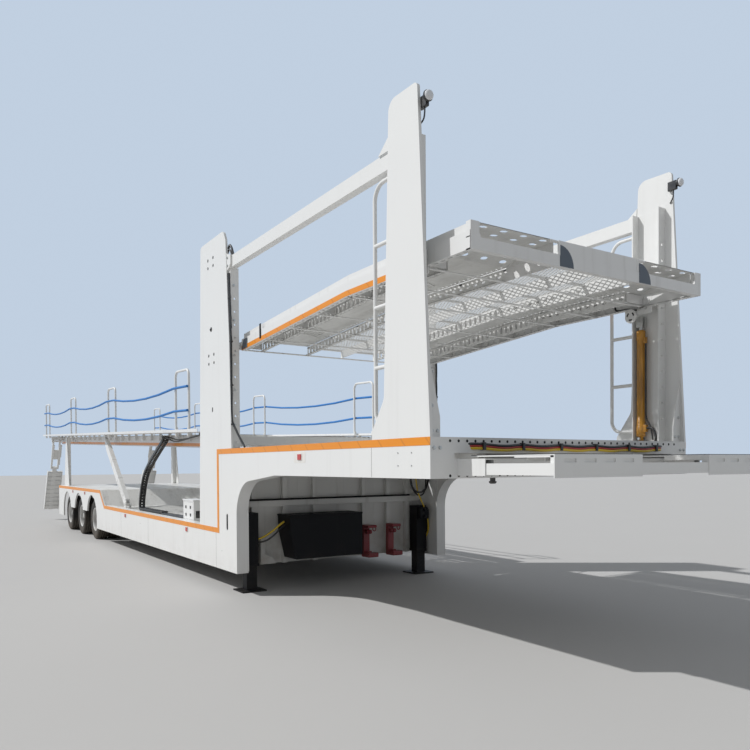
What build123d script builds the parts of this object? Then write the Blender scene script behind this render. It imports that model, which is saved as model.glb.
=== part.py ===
from build123d import *
import math
import os

os.makedirs("parts", exist_ok=True)

# Double-deck car carrier semi-trailer, standing on its front support legs.
# While it is drawn, x = 0 is the front face of the drop, +X is forward, y = 0 the centreline
# and z = 0 the ground. Sizes are in millimetres.

# Driving dimensions of the body
half_width = 1500
frame_box = 140                     # width of the box-section side frames
skirt_bottom = 250
low_top = 733
fender_top = 1016
goose_bottom = 1375
goose_top = 1675
goose_front = 3600
drop_rear = -600
slope_foot = -6580
slope_top = -6940
frame_rear = -11480
fender_skin = 30                    # side plate beside the wheels
tower_skin = 25
column_depth = 100                  # towers' lift columns, inboard of the skin
tape_width = 60
tape_thick = 2
fit_gap = 0.3                       # running gap at pins, shoes and seats
frame_in = half_width - frame_box
skin_in = half_width - tower_skin
column_in = skin_in - column_depth

# Wheels and axles
axle_first = -7700
axle_pitch = 1340
tyre_radius = 398.5
tyre_width = 235
twin_gap = 25
tyre_face = half_width - 50         # outer face of the outer tyre
rim_radius = 226
rim_wall = 8
spindle_radius = 45
axle_radius = 65
rail_in, rail_out = 560, 680        # the main rails, inner and outer face

# Decks and platforms
deck_floor = 690
floor_plate = 12
platform_gap = 39                   # from the front platform's rails to the towers' columns
upper_half = column_in - platform_gap
upper_front = 3854
upper_bend = 2170
upper_rear = -200
upper_bottom = 2963
upper_height = 197
upper_drop = 152                    # fall of the rear end below the bend
track_in = 468                      # inner edge of the front platform's wheel tracks
pivot_x, pivot_z = -1080, 1840      # pivot of the rear platform in the rear towers
rear_slope = 1.83                   # degrees the rear platform rises to the rear
rear_deck_front = -1200
rear_deck_rear = -13900
rim_front_z = 1950                  # walkway rim at the deck's front end
walk_front = -1300
strut_foot, strut_head = (-5670, 790), (-7320, 2015)        # x and z of the strut's two pins
strut_y, strut_width, strut_height, strut_wall, strut_pin = frame_in - 70, 75, 150, 6, 25

tan_slope = math.tan(math.radians(rear_slope))
axles_x = [axle_first - axle_pitch * n for n in range(3)]


# Shapes
def block(x, y, z):
    """A box from its low and high value along each axis."""
    size = [pair[1] - pair[0] for pair in (x, y, z)]
    return Pos(*[(pair[0] + pair[1]) / 2 for pair in (x, y, z)]) * Box(*size)


def side_plate(rows, y):
    """A plate that lies lengthwise: rows of x, z and corner radius, drawn out from y[0] to y[1]."""
    path = FilletPolyline(*[(x, z) for x, z, _ in rows], radius=[r for *_, r in rows], close=True)
    plate = extrude(make_face(path), amount=y[1] - y[0])
    return Plane(origin=(0, y[1], 0), x_dir=(1, 0, 0), z_dir=(0, -1, 0)) * plate


def cross_plate(rows, x):
    """A plate that lies across the body: rows of y, z and corner radius, drawn out from x[0] to x[1]."""
    path = FilletPolyline(*[(y, z) for y, z, _ in rows], radius=[r for *_, r in rows], close=True)
    plate = extrude(make_face(path), amount=x[1] - x[0])
    return Plane(origin=(x[0], 0, 0), x_dir=(0, 1, 0), z_dir=(1, 0, 0)) * plate


def rod(start, end, radius):
    """A round bar between two points."""
    start, end = Vector(*start), Vector(*end)
    return Solid.make_cylinder(radius, (end - start).length, Plane(origin=start, z_dir=end - start))


def cross_bar(x, z, y, radius):
    """A round bar across the body at one x and z."""
    return rod((x, y[0], z), (x, y[1], z), radius)


def pipe(points, radius, bends):
    """A bent pipe through points, with the bend radius at each inner point."""
    path = FilletPolyline(*points, radius=bends)
    return sweep(Plane(origin=path @ 0, z_dir=path % 0) * Circle(radius), path=path)


def twin(shape):
    """The shape and its mirror image on the other side."""
    return [shape, mirror(shape, about=Plane.XZ)]


def fuse(shapes):
    """One solid, or a few that do not touch, out of many shapes."""
    first, *others = shapes
    return first + others if others else first


parts = {}


def keep(name, *shapes):
    """Files the solids of one node."""
    flat = []
    for shape in shapes:
        flat += shape if isinstance(shape, list) else [shape]
    parts[name] = [solid for shape in flat for solid in shape.solids()]


# Side frames: the gooseneck with its drop leg, the low skirt and the fender with its arches
slot_x, slot_z, slot_size, slot_depth = -285, 822, (50, 192), 20
drop_corner_z, drop_radius = 1272, 400
flat_start = 1015
goose_frame = side_plate([
    (drop_rear, skirt_bottom, 0), (0, skirt_bottom, 0), (0, drop_corner_z, drop_radius),
    (flat_start, goose_bottom, 0), (goose_front, goose_bottom, 0), (goose_front, goose_top, 0),
    (drop_rear, goose_top, 0)], (frame_in, half_width))
slot_radius, slot_span = slot_size[0] / 2, (slot_size[1] - slot_size[0]) / 2
slot_y = (half_width - slot_depth, half_width)
inspection_slot = block((slot_x - slot_radius, slot_x + slot_radius), slot_y,
                        (slot_z - slot_span, slot_z + slot_span))
for z in (slot_z - slot_span, slot_z + slot_span):
    inspection_slot += cross_bar(slot_x, z, slot_y, slot_radius)
keep("side_frames_gooseneck", twin(goose_frame - inspection_slot))

keep("side_frames_low", twin(block((slope_foot, drop_rear), (frame_in, half_width), (skirt_bottom, low_top))))

arch_radius, arch_z, pillar_bottom, rear_skirt_bottom = 475, 420, 550, 310
arch_x = [x - 20 for x in axles_x]
fender = side_plate([
    (slope_foot, skirt_bottom, 0), (slope_foot, low_top, 0), (slope_top, fender_top, 0),
    (frame_rear, fender_top, 0), (frame_rear, skirt_bottom, 0)], (half_width - fender_skin, half_width))
for x in arch_x:
    fender -= cross_bar(x, arch_z, (half_width - fender_skin - 1, half_width + 1), arch_radius)
fender -= block((arch_x[2] - arch_radius, arch_x[0] + arch_radius), (half_width - fender_skin, half_width),
                (skirt_bottom, arch_z))
fender -= block((arch_x[2], arch_x[0]), (half_width - fender_skin, half_width), (skirt_bottom, pillar_bottom))
fender -= block((frame_rear, arch_x[2]), (half_width - fender_skin, half_width),
                (skirt_bottom, rear_skirt_bottom))
box_end = -7150                     # the full-width box section ends short of the front tyre
fender += block((box_end, slope_foot), (frame_in, half_width - fender_skin), (skirt_bottom, deck_floor))
keep("side_frames_fender", twin(fender))

# Orange tape along the frames' top edges
tape = side_plate([
    (goose_front, goose_top, 0), (drop_rear, goose_top, 0), (drop_rear, low_top, 0), (slope_foot, low_top, 0),
    (slope_top, fender_top, 0), (frame_rear, fender_top, 0), (frame_rear, fender_top - tape_width, 0),
    (slope_top - 25, fender_top - tape_width, 0), (slope_foot - 22, low_top - tape_width, 0),
    (drop_rear + tape_width, low_top - tape_width, 0), (drop_rear + tape_width, goose_top - tape_width, 0),
    (goose_front, goose_top - tape_width, 0)], (half_width, half_width + tape_thick))
keep("marking_tape", twin(tape))

# Gooseneck: main beams, cross members, front ties and the sleeves of the front extension
beam_top, beam_step, deck_rear = 1615, 1520, -420
beam_y = (420, 520)
tie_depth = 80
tie_x = (goose_front - tie_depth, goose_front)
slot_bottom, slot_top = beam_step, 1560
sleeve_y, sleeve_z, sleeve_wall = (frame_in - 195, frame_in - 105), (1395, 1516), 8
sleeve_rear, sleeve_front = 3000, 3900
cross_x = [300, 900, 1500, 2100, 2700]
goose_parts = twin(side_plate([
    (deck_rear, goose_bottom, 0), (goose_front, goose_bottom, 0), (goose_front, beam_step, 0),
    (sleeve_rear, beam_step, 0), (sleeve_rear - 60, beam_top, 0), (deck_rear, beam_top, 0)], beam_y))
goose_parts += [block((x - 40, x + 40), (-frame_in, frame_in), (1430, beam_top)) for x in cross_x]
goose_parts += [block(tie_x, (-frame_in, frame_in), (goose_bottom, slot_bottom)),
                block(tie_x, (-frame_in, frame_in), (slot_top, goose_top))]
goose_parts += twin(block(tie_x, (sleeve_y[1] + 25, frame_in), (slot_bottom, slot_top)))
goose_parts += twin(block((sleeve_rear, sleeve_front), sleeve_y, sleeve_z))
goose_parts += twin(block((sleeve_rear, goose_front - tie_depth), (sleeve_y[1], frame_in), (1420, 1480)))
bore_y = (sleeve_y[0] + sleeve_wall, sleeve_y[1] - sleeve_wall)
bore_z = (sleeve_z[0] + sleeve_wall, sleeve_z[1] - sleeve_wall)
goose = fuse(goose_parts)
for bore in twin(block((sleeve_rear - 1, sleeve_front + 1), bore_y, bore_z)):
    goose -= bore
keep("gooseneck_frame", goose)

# Coupler plate with its kingpin
plate_thick, kingpin_x = 12, 2600
plate_bottom = goose_bottom - plate_thick
kingpin_rows = [(0, 46), (46, 46), (46, 35), (25.4, 35), (25.4, 0),
                (36.5, 0), (36.5, -12), (25, -24), (0, -24)]      # radius and height
kingpin_drop = 46
kingpin = revolve(Plane.XZ * make_face(Polyline(*kingpin_rows, close=True)), axis=Axis.Z)
kingpin = Pos(kingpin_x, 0, plate_bottom - kingpin_drop) * kingpin
coupler = block((2080, 3120), (-beam_y[1], beam_y[1]), (plate_bottom, goose_bottom))
keep("coupler_plate", coupler + kingpin)

# Gooseneck deck: two ribbed wheel tracks and a centre plate
track_edge, pan_top, pan_plate, pan_flange = frame_in - 10, 1667, 8, 8
rib_pitch = 300
deck_pan = [block((deck_rear, goose_front), (track_in + 12, track_edge), (pan_top - pan_plate, pan_top))]
for y in (track_in + 12, track_edge - pan_flange):
    deck_pan.append(block((deck_rear, goose_front - tie_depth), (y, y + pan_flange), (beam_top, pan_top)))
deck_pan += [block((x, x + 40), (track_in + 12, track_edge), (pan_top, goose_top))
             for x in range(-300, 3300, rib_pitch)]
pan = fuse(deck_pan) - block(tie_x, (0, half_width), (beam_top, goose_top))
keep("gooseneck_deck", twin(pan), block((deck_rear, goose_front - tie_depth), (-track_in + 6, track_in - 6),
                                        (beam_top, beam_top + pan_plate)))

# Wall across the drop, with its ribs
wall_rear, wall_front, rib_front = -460, -420, -360
bracket_y = (430, 815)
wall = [block((wall_rear, wall_front), (-frame_in, frame_in), (skirt_bottom + 30, goose_top - 60))]
wall += [block((wall_front, rib_front), (y - 30, y + 30), (skirt_bottom + 30, 1370))
         for y in (230 - frame_in, -720, -300, *bracket_y, frame_in - 230)]
keep("drop_wall", fuse(wall))

# Main rails below the decks, with outriggers to the side frames
rail_low, rail_high, rail_rise = 400, 640, (-6600, -6940)
rails = [side_plate([
    (wall_rear, rail_low, 0), (wall_rear, deck_floor, 0), (rail_rise[0], deck_floor, 0),
    (rail_rise[1], fender_top - 66, 0), (frame_rear, fender_top - 66, 0), (frame_rear, rail_high, 0),
    (rail_rise[1], rail_high, 0), (rail_rise[0], rail_low, 0)], y)
    for y in ((rail_in, rail_out), (-rail_out, -rail_in))]
rails += [block((x - 30, x + 30), (-frame_in, frame_in), (560, deck_floor))
          for x in range(-900, -6400, -900)]
rails += [block((x - 30, x + 30), (-rail_out, rail_out), (820, fender_top - 66))
          for x in [axle_first + axle_pitch * (0.5 - n) for n in range(4)] + [frame_rear + 30]]
keep("chassis_rails", fuse(rails))

# Low deck floor and the raised deck over the wheels
deck_top, deck_rib_top = deck_floor + floor_plate, deck_floor + 22
deck_panel = [block((slope_foot + 20, wall_rear), (-frame_in, frame_in), (deck_floor, deck_top))]
deck_panel += [block((x - 20, x + 20), (-frame_in, frame_in), (deck_top, deck_rib_top))
               for x in range(-700, -6400, -rib_pitch)]
foot_gap, ear_thick, ear_half = 1, 12, 70
for side in (-1, 1):
    ear_y = side * (strut_width / 2 + foot_gap + ear_thick / 2)
    deck_panel.append(side_plate([
        (strut_foot[0] - ear_half, deck_top, 0), (strut_foot[0] + ear_half, deck_top, 0),
        (strut_foot[0] + 45, strut_foot[1] + 45, 40), (strut_foot[0] - 45, strut_foot[1] + 45, 40)],
        (strut_y + ear_y - ear_thick / 2, strut_y + ear_y + ear_thick / 2)))
ear_out = strut_width / 2 + ear_thick
deck_panel.append(cross_bar(*strut_foot, (strut_y - ear_out, strut_y + ear_out), strut_pin))
ears = fuse(deck_panel[-3:])
keep("low_deck", fuse(deck_panel[:-3] + twin(ears)))

fender_in = half_width - fender_skin
deck_beam_z = (fender_top - 66, fender_top - 12)
raised = [block((frame_rear, slope_top), (-fender_in, fender_in), (deck_beam_z[1], fender_top)),
          side_plate([(slope_foot + 20, deck_floor, 0), (slope_foot + 20, deck_floor + 14, 0),
                      (slope_top, fender_top, 0), (slope_top, fender_top - 14, 0)], (-fender_in, fender_in))]
raised += [block((x - 30, x + 30), (-fender_in, fender_in), deck_beam_z) for x in range(-7000, -11450, -450)]
raised.append(block((frame_rear, frame_rear + 40), (-fender_in, fender_in), deck_beam_z))
raised_deck = fuse(raised)
for limit in twin(block((slope_top, slope_foot + 21), (frame_in, half_width), (0, low_top))):
    raised_deck -= limit
keep("raised_deck", raised_deck)

# Towers: a tapered skin, a lift column inside it and, in front, a base gusset
tower_foot, tower_back, tower_nose, tower_top = 2840, 3100, 3466, 4240
front_skin = side_plate([
    (tower_foot, goose_top, 0), (tower_foot, goose_top + 65, 60), (tower_foot + 173, goose_top + 310, 120),
    (tower_back, tower_top, 90), (tower_nose, tower_top - 10, 40), (goose_front, goose_top, 0)],
    (skin_in, half_width))
front_column_x, front_column_top, column_wall = (tower_back, tower_back + 300), 3900, 12
flange_holes, flange_pitch, flange_hole_radius = 12, 150, 12
hole_y = skin_in - 50


def column(x, top):
    """An open channel against the tower's skin, with its back to the skin."""
    walls = [block((x[0], x[0] + column_wall), (column_in, skin_in), (goose_top, top)),
             block((x[1] - column_wall, x[1]), (column_in, skin_in), (goose_top, top)),
             block(x, (skin_in - column_wall, skin_in), (goose_top, top))]
    shape = fuse(walls)
    for n in range(flange_holes):
        z = top - 350 - n * flange_pitch
        shape -= rod((x[1] - column_wall - 1, hole_y, z), (x[1] + 1, hole_y, z), flange_hole_radius)
    return shape


gusset = cross_plate([
    (column_in, goose_top, 0), (column_in, goose_top + 145, 40), (skin_in, goose_top + 585, 0),
    (skin_in, goose_top, 0)], (goose_front - 56, goose_front - 44))
front_tower = front_skin + column(front_column_x, front_column_top) + gusset
keep("front_towers", twin(front_tower))

top_rail_z = (3750, 3880)
rear_column_x, rear_column_top, rear_tower_top = (-450, -180), top_rail_z[0], 4205
boss_radius, pin_radius = 70, 35
rear_skin = side_plate([
    (-1224, low_top, 0), (-1105, rear_tower_top, 60), (-330, rear_tower_top, 80),
    (-262, rear_tower_top - 115, 60), (-170, goose_top + 1185, 0), (-135, goose_top, 0),
    (drop_rear, goose_top, 0), (drop_rear, low_top, 0)], (skin_in, half_width))
skin_holes = [(-842, 3980, 20), (-667, 3980, 20), (-842, 3885, 20), (-667, 3885, 20), (-755, 3130, 30),
              (-842, 2820, 20), (-667, 2820, 20), (-842, 2720, 20), (-667, 2720, 20)]      # x, z and radius
for x, z, radius in skin_holes:
    rear_skin -= cross_bar(x, z, (skin_in - 1, half_width + 1), radius)
rear_skin -= block((-749, -715), (skin_in - 1, half_width + 1), (2130, 2184))
boss = cross_bar(pivot_x, pivot_z, (column_in + 20, skin_in), boss_radius)
boss_bore = cross_bar(pivot_x, pivot_z, (column_in, skin_in), pin_radius + fit_gap)
rear_tower = rear_skin + column(rear_column_x, rear_column_top) + (boss - boss_bore)
keep("rear_towers", twin(rear_tower))

# Top rails from the rear columns' heads to the front columns
rail_y, rail_overlap = (skin_in - 80, skin_in), 150
keep("top_rails", twin(block((rear_column_x[1] - rail_overlap, front_column_x[0]), rail_y, top_rail_z)))

# Ladders behind the front towers
ladder_x, ladder_y, ladder_radius = tower_foot - 30, skin_in - 35, 17
ladder_z = (1790, 3700)
ladder = [pipe([(front_column_x[0], ladder_y, ladder_z[1]), (ladder_x, ladder_y, ladder_z[1]),
                (ladder_x, ladder_y, ladder_z[0]), (front_column_x[0], ladder_y, ladder_z[0])],
               ladder_radius, [130, 110])]
ladder += [rod((ladder_x, ladder_y, z), (front_column_x[0], ladder_y, z), ladder_radius)
           for z in (2250, 2730, 3220)]
keep("ladders", twin(fuse(ladder)))

# Support legs under the gooseneck
leg_x, leg_y, foot_half, foot_thick = (-340, -180), (frame_in - 205, frame_in - 45), 150, 16
leg_mid = ((leg_x[0] + leg_x[1]) / 2, (leg_y[0] + leg_y[1]) / 2)
leg = fuse([
    block(leg_x, leg_y, (300, 920)),
    block((leg_x[0] + 15, leg_x[1] - 15), (leg_y[0] + 15, leg_y[1] - 15), (foot_thick, 300)),
    block((leg_mid[0] - foot_half, leg_mid[0] + foot_half), (leg_mid[1] - foot_half, leg_mid[1] + foot_half),
          (0, foot_thick)),
    block(leg_x, (leg_y[1], frame_in), (560, 860))])
keep("support_legs", twin(leg))

# Boxes and brackets in the drop and on the low deck
keep("tool_chest", block((rib_front, -20), (-820, 190), (350, 880)))
brackets = [fuse([block((rib_front, rib_front + 60), (y - 45, y + 45), (270, 690)),
                  block((rib_front + 60, rib_front + 180), (y - 45, y + 45), (270, 330)),
                  block((rib_front + 60, rib_front + 160), (y - 30, y + 30), (600, 660))])
            for y in bracket_y]
keep("wheel_chock_brackets", brackets)
keep("control_cabinet", block((-2350, -1900), (10 - frame_in, 200 - frame_in), (deck_rib_top, 1010)))

# Front extension: slides in the sleeves, a cross bar, two pans and their bent-down lips
slide_rear, lip_x, lip_thick = 3320, 4522, 8
pan_z = (1530, 1538)
pan_y, lip_bottom = (390, sleeve_y[1] - 35), 1388
slide_y = (bore_y[0] + fit_gap, bore_y[1] - fit_gap)
slide_z = (bore_z[0] + fit_gap, 1482)
extension = [block((lip_x - 80, lip_x), (-slide_y[1], slide_y[1]), slide_z)]
extension += twin(block((slide_rear, lip_x), slide_y, slide_z))
extension += twin(block((slide_rear, slide_rear + 150), slide_y, (slide_z[1], bore_z[1] - fit_gap)))
extension += twin(block((3640, lip_x + lip_thick), pan_y, pan_z))
extension += twin(block((lip_x - 52, lip_x), pan_y, (slide_z[1], pan_z[0])))
extension += twin(block((lip_x, lip_x + lip_thick), (pan_y[0], slide_y[1]), (lip_bottom, pan_z[1])))
lip_slots = [block((lip_x - 1, lip_x + lip_thick + 1), (pan_y[0] + 90 + n * 190, pan_y[0] + 200 + n * 190),
                   (pan_z[0] - 45, pan_z[0] - 20)) for n in range(4)]
slide_out = fuse(extension)
for lip_slot in lip_slots:
    for cut in twin(lip_slot):
        slide_out -= cut
keep("front_extension", slide_out)

# Axles, springs and hangers
twin_inner = tyre_face - 2 * tyre_width - twin_gap
spindle_end = tyre_face - 110
keep("axles", [fuse([cross_bar(x, tyre_radius, (-twin_inner + 20, twin_inner - 20), axle_radius),
                     cross_bar(x, tyre_radius, (-spindle_end, spindle_end), spindle_radius)])
               for x in axles_x])
spring_y, spring_half, spring_z, hanger_half = (585, 655), 640, 520, 80
springs = []
for x in axles_x:
    springs += [block((x - spring_half, x + spring_half), spring_y, (470, 495)),
                block((x - spring_half * 0.7, x + spring_half * 0.7), spring_y, (495, 508)),
                block((x - 90, x + 90), spring_y, (tyre_radius + axle_radius, 530)),
                block((x - spring_half, x - spring_half + 50), spring_y, (495, spring_z)),
                block((x + spring_half - 50, x + spring_half), spring_y, (495, spring_z))]
for n in range(4):
    x = axle_first + axle_pitch * (0.5 - n)
    springs.append(block((x - hanger_half, x + hanger_half), spring_y, (spring_z, rail_high)))
keep("suspension", twin(fuse(springs)))


# Twin wheels: two rims on one hub, and two tyres
def tyre(y):
    """One tyre whose outer face is at y, on an axis along Y."""
    half = tyre_width / 2
    rows = [(rim_radius, 0.80), (rim_radius + 20, 0.88), (rim_radius + 80, 1.0), (tyre_radius - 45, 1.0),
            (tyre_radius - 8, 0.88), (tyre_radius, 0.78)]
    outline = [(r, half * w) for r, w in rows] + [(r, -half * w) for r, w in reversed(rows)]
    ring = revolve(Plane.XZ * make_face(Polyline(*outline, close=True)), axis=Axis.Z)
    return Plane(origin=(0, y - half, 0), x_dir=(1, 0, 0), z_dir=(0, 1, 0)) * ring


hub_radius, hub_bore = 105, spindle_radius + fit_gap
disc_y = tyre_face - tyre_width - twin_gap / 2
rim_half = 94


def rims():
    """Both rims of a twin wheel with the disc and hub between them."""
    pieces = []
    for y in (tyre_face - tyre_width / 2, tyre_face - tyre_width * 1.5 - twin_gap):
        pieces.append(cross_bar(0, 0, (y - rim_half, y + rim_half), rim_radius)
                      - cross_bar(0, 0, (y - rim_half - 1, y + rim_half + 1), rim_radius - rim_wall))
    pieces.append(cross_bar(0, 0, (disc_y - 45, disc_y + 45), rim_radius - rim_wall)
                  - cross_bar(0, 0, (disc_y + 12, disc_y + 46), rim_radius - rim_wall - 14)
                  - cross_bar(0, 0, (disc_y - 46, disc_y - 12), rim_radius - rim_wall - 14))
    pieces.append(cross_bar(0, 0, (twin_inner + 10, spindle_end + 20), hub_radius))
    pieces.append(cross_bar(0, 0, (spindle_end + 20, spindle_end + 60), hub_radius * 0.6))
    return fuse(pieces) - cross_bar(0, 0, (twin_inner, spindle_end + 5), hub_bore)


tyre_pair = [tyre(tyre_face), tyre(tyre_face - tyre_width - twin_gap)]
rim_pair = rims()
wheel_names = ["front", "middle", "rear"]
for name, x in zip(wheel_names, axles_x):
    for side, turned in (("left", False), ("right", True)):
        for node, shapes in (("tyres", tyre_pair), ("rims", [rim_pair])):
            placed = [Pos(x, 0, tyre_radius) * shape for shape in shapes]
            keep(f"{node}_{name}_{side}", [mirror(s, about=Plane.XZ) for s in placed] if turned else placed)

# Front platform: rails and cross members, tracks, centre mesh, tape, lift shoes
rear_height = 160


def upper_z(x):
    """Underside of the front platform at x."""
    return upper_bottom - max(0, upper_bend - x) * upper_drop / (upper_bend - upper_rear)


def upper_rows(front, rear, low, high):
    """Outline that follows the front platform's bend, between two heights over its underside."""
    return [(front, upper_bottom + low, 0), (front, upper_bottom + high, 0),
            (upper_bend, upper_bottom + high, 0), (rear, upper_z(rear) + high, 0),
            (rear, upper_z(rear) + low, 0), (upper_bend, upper_bottom + low, 0)]


rail_wall, lip_set = 10, 30
track_low, track_high = 118, 124
rail_plates = [(0, 130, 0, rail_wall), (124, 130, 0, lip_set), (124, upper_height, lip_set, lip_set + 6),
               (0, 8, 0, 60)]       # low and high over the underside, near and far side from the rail's face
upper_frame = []
for low, high, near, far in rail_plates:
    upper_frame += twin(side_plate(upper_rows(upper_front, upper_rear, low, high),
                                   (upper_half - far, upper_half - near)))
cross_in = upper_half - rail_wall
for x in (upper_rear, 380, 950, 1520, upper_bend, 2700, 3260):
    upper_frame.append(side_plate([
        (x, upper_z(x) + 8, 0), (x, upper_z(x) + track_low - 10, 0),
        (x + 60, upper_z(x + 60) + track_low - 10, 0), (x + 60, upper_z(x + 60) + 8, 0)], (-cross_in, cross_in)))
nose_beam, nose_rise = 50, 90
upper_frame.append(block((upper_front - nose_beam, upper_front), (-upper_half, upper_half),
                         (upper_bottom, upper_bottom + nose_rise)))
upper_frame.append(block((upper_front - 12, upper_front), (-track_in, track_in),
                         (upper_bottom + nose_rise, upper_bottom + upper_height)))
upper_frame += twin(block((upper_front - nose_beam, upper_front), (upper_half - 70, upper_half),
                          (upper_bottom + nose_rise, upper_bottom + upper_height)))
carrier_x, carrier_pin = -315, 25
carrier_z = upper_z(upper_rear) + 70
lug_half, lug_y = 50, (upper_half - 36, upper_half - 20)
lug_x = (carrier_x - 60, upper_rear + 30)
lug = (side_plate([(lug_x[0], carrier_z - lug_half, 40), (lug_x[0], carrier_z + lug_half, 40),
                   (lug_x[1], carrier_z + lug_half, 0), (lug_x[1], carrier_z - lug_half, 0)], lug_y)
       - cross_bar(carrier_x, carrier_z, (upper_half - 60, upper_half), carrier_pin + fit_gap))
shoe_inset, shoe_half = 25, 100
shoe_web = skin_in - column_wall
front_shoe = block((front_column_x[0] + column_wall + 130, front_column_x[1] - column_wall - shoe_inset),
                   (upper_half - rail_wall, shoe_web - fit_gap), (upper_bottom, upper_bottom + 130))
keep("front_platform_frame", fuse(upper_frame + twin(lug) + twin(front_shoe)))

# The tracks rise to the rails' top at the front end, which stops the wheels
track_out, track_front = upper_half - lip_set - 8, upper_front - nose_beam - 2
ramp_foot, ramp_head = upper_front - 560, upper_front - 330
stop_out, stop_front, stop_top = upper_half - 72, upper_front - 14, upper_bottom + upper_height
upper_track = side_plate(upper_rows(ramp_foot, upper_rear, track_low, track_high), (track_in + 4, track_out))
upper_track += side_plate([
    (ramp_foot - 1, upper_bottom + track_low, 0), (ramp_foot - 1, upper_bottom + track_high, 0),
    (ramp_foot, upper_bottom + track_high, 0), (ramp_head, stop_top, 0), (stop_front, stop_top, 0),
    (stop_front, stop_top - 6, 0), (ramp_head, stop_top - 6, 0), (ramp_foot, upper_bottom + track_low, 0)],
    (track_in + 4, stop_out))
upper_track += side_plate(upper_rows(track_front, upper_rear, track_low - 10, track_low),
                          (track_in + 4, track_in + 10))
upper_track += side_plate(upper_rows(track_front, upper_rear, track_low - 10, track_low),
                          (track_out - 60, track_out))
for y in (track_in + 4, stop_out - 6):
    upper_track += side_plate([
        (ramp_foot, upper_bottom + track_low - 10, 0), (ramp_head, stop_top - 3, 0),
        (track_front, stop_top - 3, 0), (track_front, upper_bottom + track_low - 10, 0)],
        (y, y + 6))
keep("front_platform_tracks", twin(upper_track))

# The centre mesh lies on the cross members and is cut here as a plain grid of openings
mesh_low, mesh_high = track_low - 10, track_low - 4
centre_mesh = side_plate(upper_rows(track_front, upper_rear, mesh_low, mesh_high), (4 - track_in, track_in - 4))
mesh_columns, mesh_rows, mesh_strip = 12, 5, 20
mesh_pitch = ((track_front - upper_rear) / mesh_columns, 2 * (track_in - 4) / mesh_rows)
for column_n in range(mesh_columns):
    for row_n in range(mesh_rows):
        x, y = upper_rear + column_n * mesh_pitch[0], 4 - track_in + row_n * mesh_pitch[1]
        centre_mesh -= block((x + mesh_strip, x + mesh_pitch[0] - mesh_strip),
                             (y + mesh_strip, y + mesh_pitch[1] - mesh_strip),
                             (upper_bottom - 100, upper_bottom + upper_height))
keep("front_platform_mesh", centre_mesh)
keep("front_platform_tape", twin(side_plate(upper_rows(upper_front - 900, upper_rear, 4, 52),
                                            (upper_half, upper_half + tape_thick))))

# Carriers in the rear towers' columns, on which the front platform tilts
rear_carrier = fuse([
    block((rear_column_x[0] + column_wall + 5, rear_column_x[1] - column_wall - 5),
          (column_in, shoe_web - fit_gap), (carrier_z - shoe_half, carrier_z + shoe_half)),
    cross_bar(carrier_x, carrier_z, (upper_half - 40, column_in), carrier_pin)])
keep("rear_lift_carriers", twin(rear_carrier))

# Lift cylinders standing in the front columns
cylinder_x, cylinder_y, cylinder_radius = 3172, skin_in - 57, 42
cylinder_top = 2800
keep("lift_cylinders", twin(rod((cylinder_x, cylinder_y, goose_top), (cylinder_x, cylinder_y, cylinder_top),
                                cylinder_radius)))

# Lamps: tower lamps, side markers, tail lamps
lamp_z, lamp_face = 4095, tower_nose + 74
tower_lamp = fuse([block((lamp_face - 110, lamp_face), (skin_in - 35, skin_in), (lamp_z - 60, lamp_z + 30)),
                   rod((lamp_face, skin_in - 5, lamp_z), (lamp_face + 50, skin_in - 5, lamp_z), 42)])
keep("tower_lamps", twin(tower_lamp))
marker_places = [(-9683, 915), (-8367, 915), (-4986, 632), (-1739, 632), (1580, 1555)]     # x and z
marker_half = (45, 35)
markers = [block((x - marker_half[0], x + marker_half[0]), (half_width, half_width + 12),
                 (z - marker_half[1], z + marker_half[1])) for x, z in marker_places]

# Posts under the rear platform, and the under-run bar
post_x, post_y, post_base, post_tip, post_top = -11300, frame_in - 60, 600, 120, 2180
post_column = (post_x - post_tip / 2, post_x + post_tip / 2)
post = fuse([
    side_plate([(post_x - post_base / 2, fender_top, 0), (post_x + post_base / 2, fender_top, 0),
                (post_column[1], post_top, 0), (post_column[0], post_top, 0)], (post_y + 40, post_y + 52)),
    block(post_column, (post_y - 40, post_y + 40), (fender_top, post_top))])
keep("rear_posts", twin(post))
bar_x, bar_z, bar_half = (frame_rear - 90, frame_rear - 20), (430, 550), half_width - 250
underrun = [block(bar_x, (-bar_half, bar_half), bar_z)]
underrun += twin(block((bar_x[0], frame_rear), (rail_in, rail_out), (bar_z[0], 800)))
keep("underrun_bar", fuse(underrun))
tail_lamp_y = (bar_half - 350, bar_half - 50)
markers.append(block((bar_x[0] - 25, bar_x[0]), tail_lamp_y, (bar_z[0] + 20, bar_z[1] - 20)))
keep("marker_lamps", twin(fuse(markers)))


# Rear platform: all of it lies on a plane that rises to the rear, through the rim's front end
def rear_z(x):
    """Height of the walkway rim of the rear platform at x."""
    return rim_front_z + (rear_deck_front - x) * tan_slope


def sloped(x, y, low, high):
    """A bar along the rear platform between two heights that are measured from the rim."""
    return side_plate([(x[1], rear_z(x[1]) + low, 0), (x[1], rear_z(x[1]) + high, 0),
                       (x[0], rear_z(x[0]) + high, 0), (x[0], rear_z(x[0]) + low, 0)], y)


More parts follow.
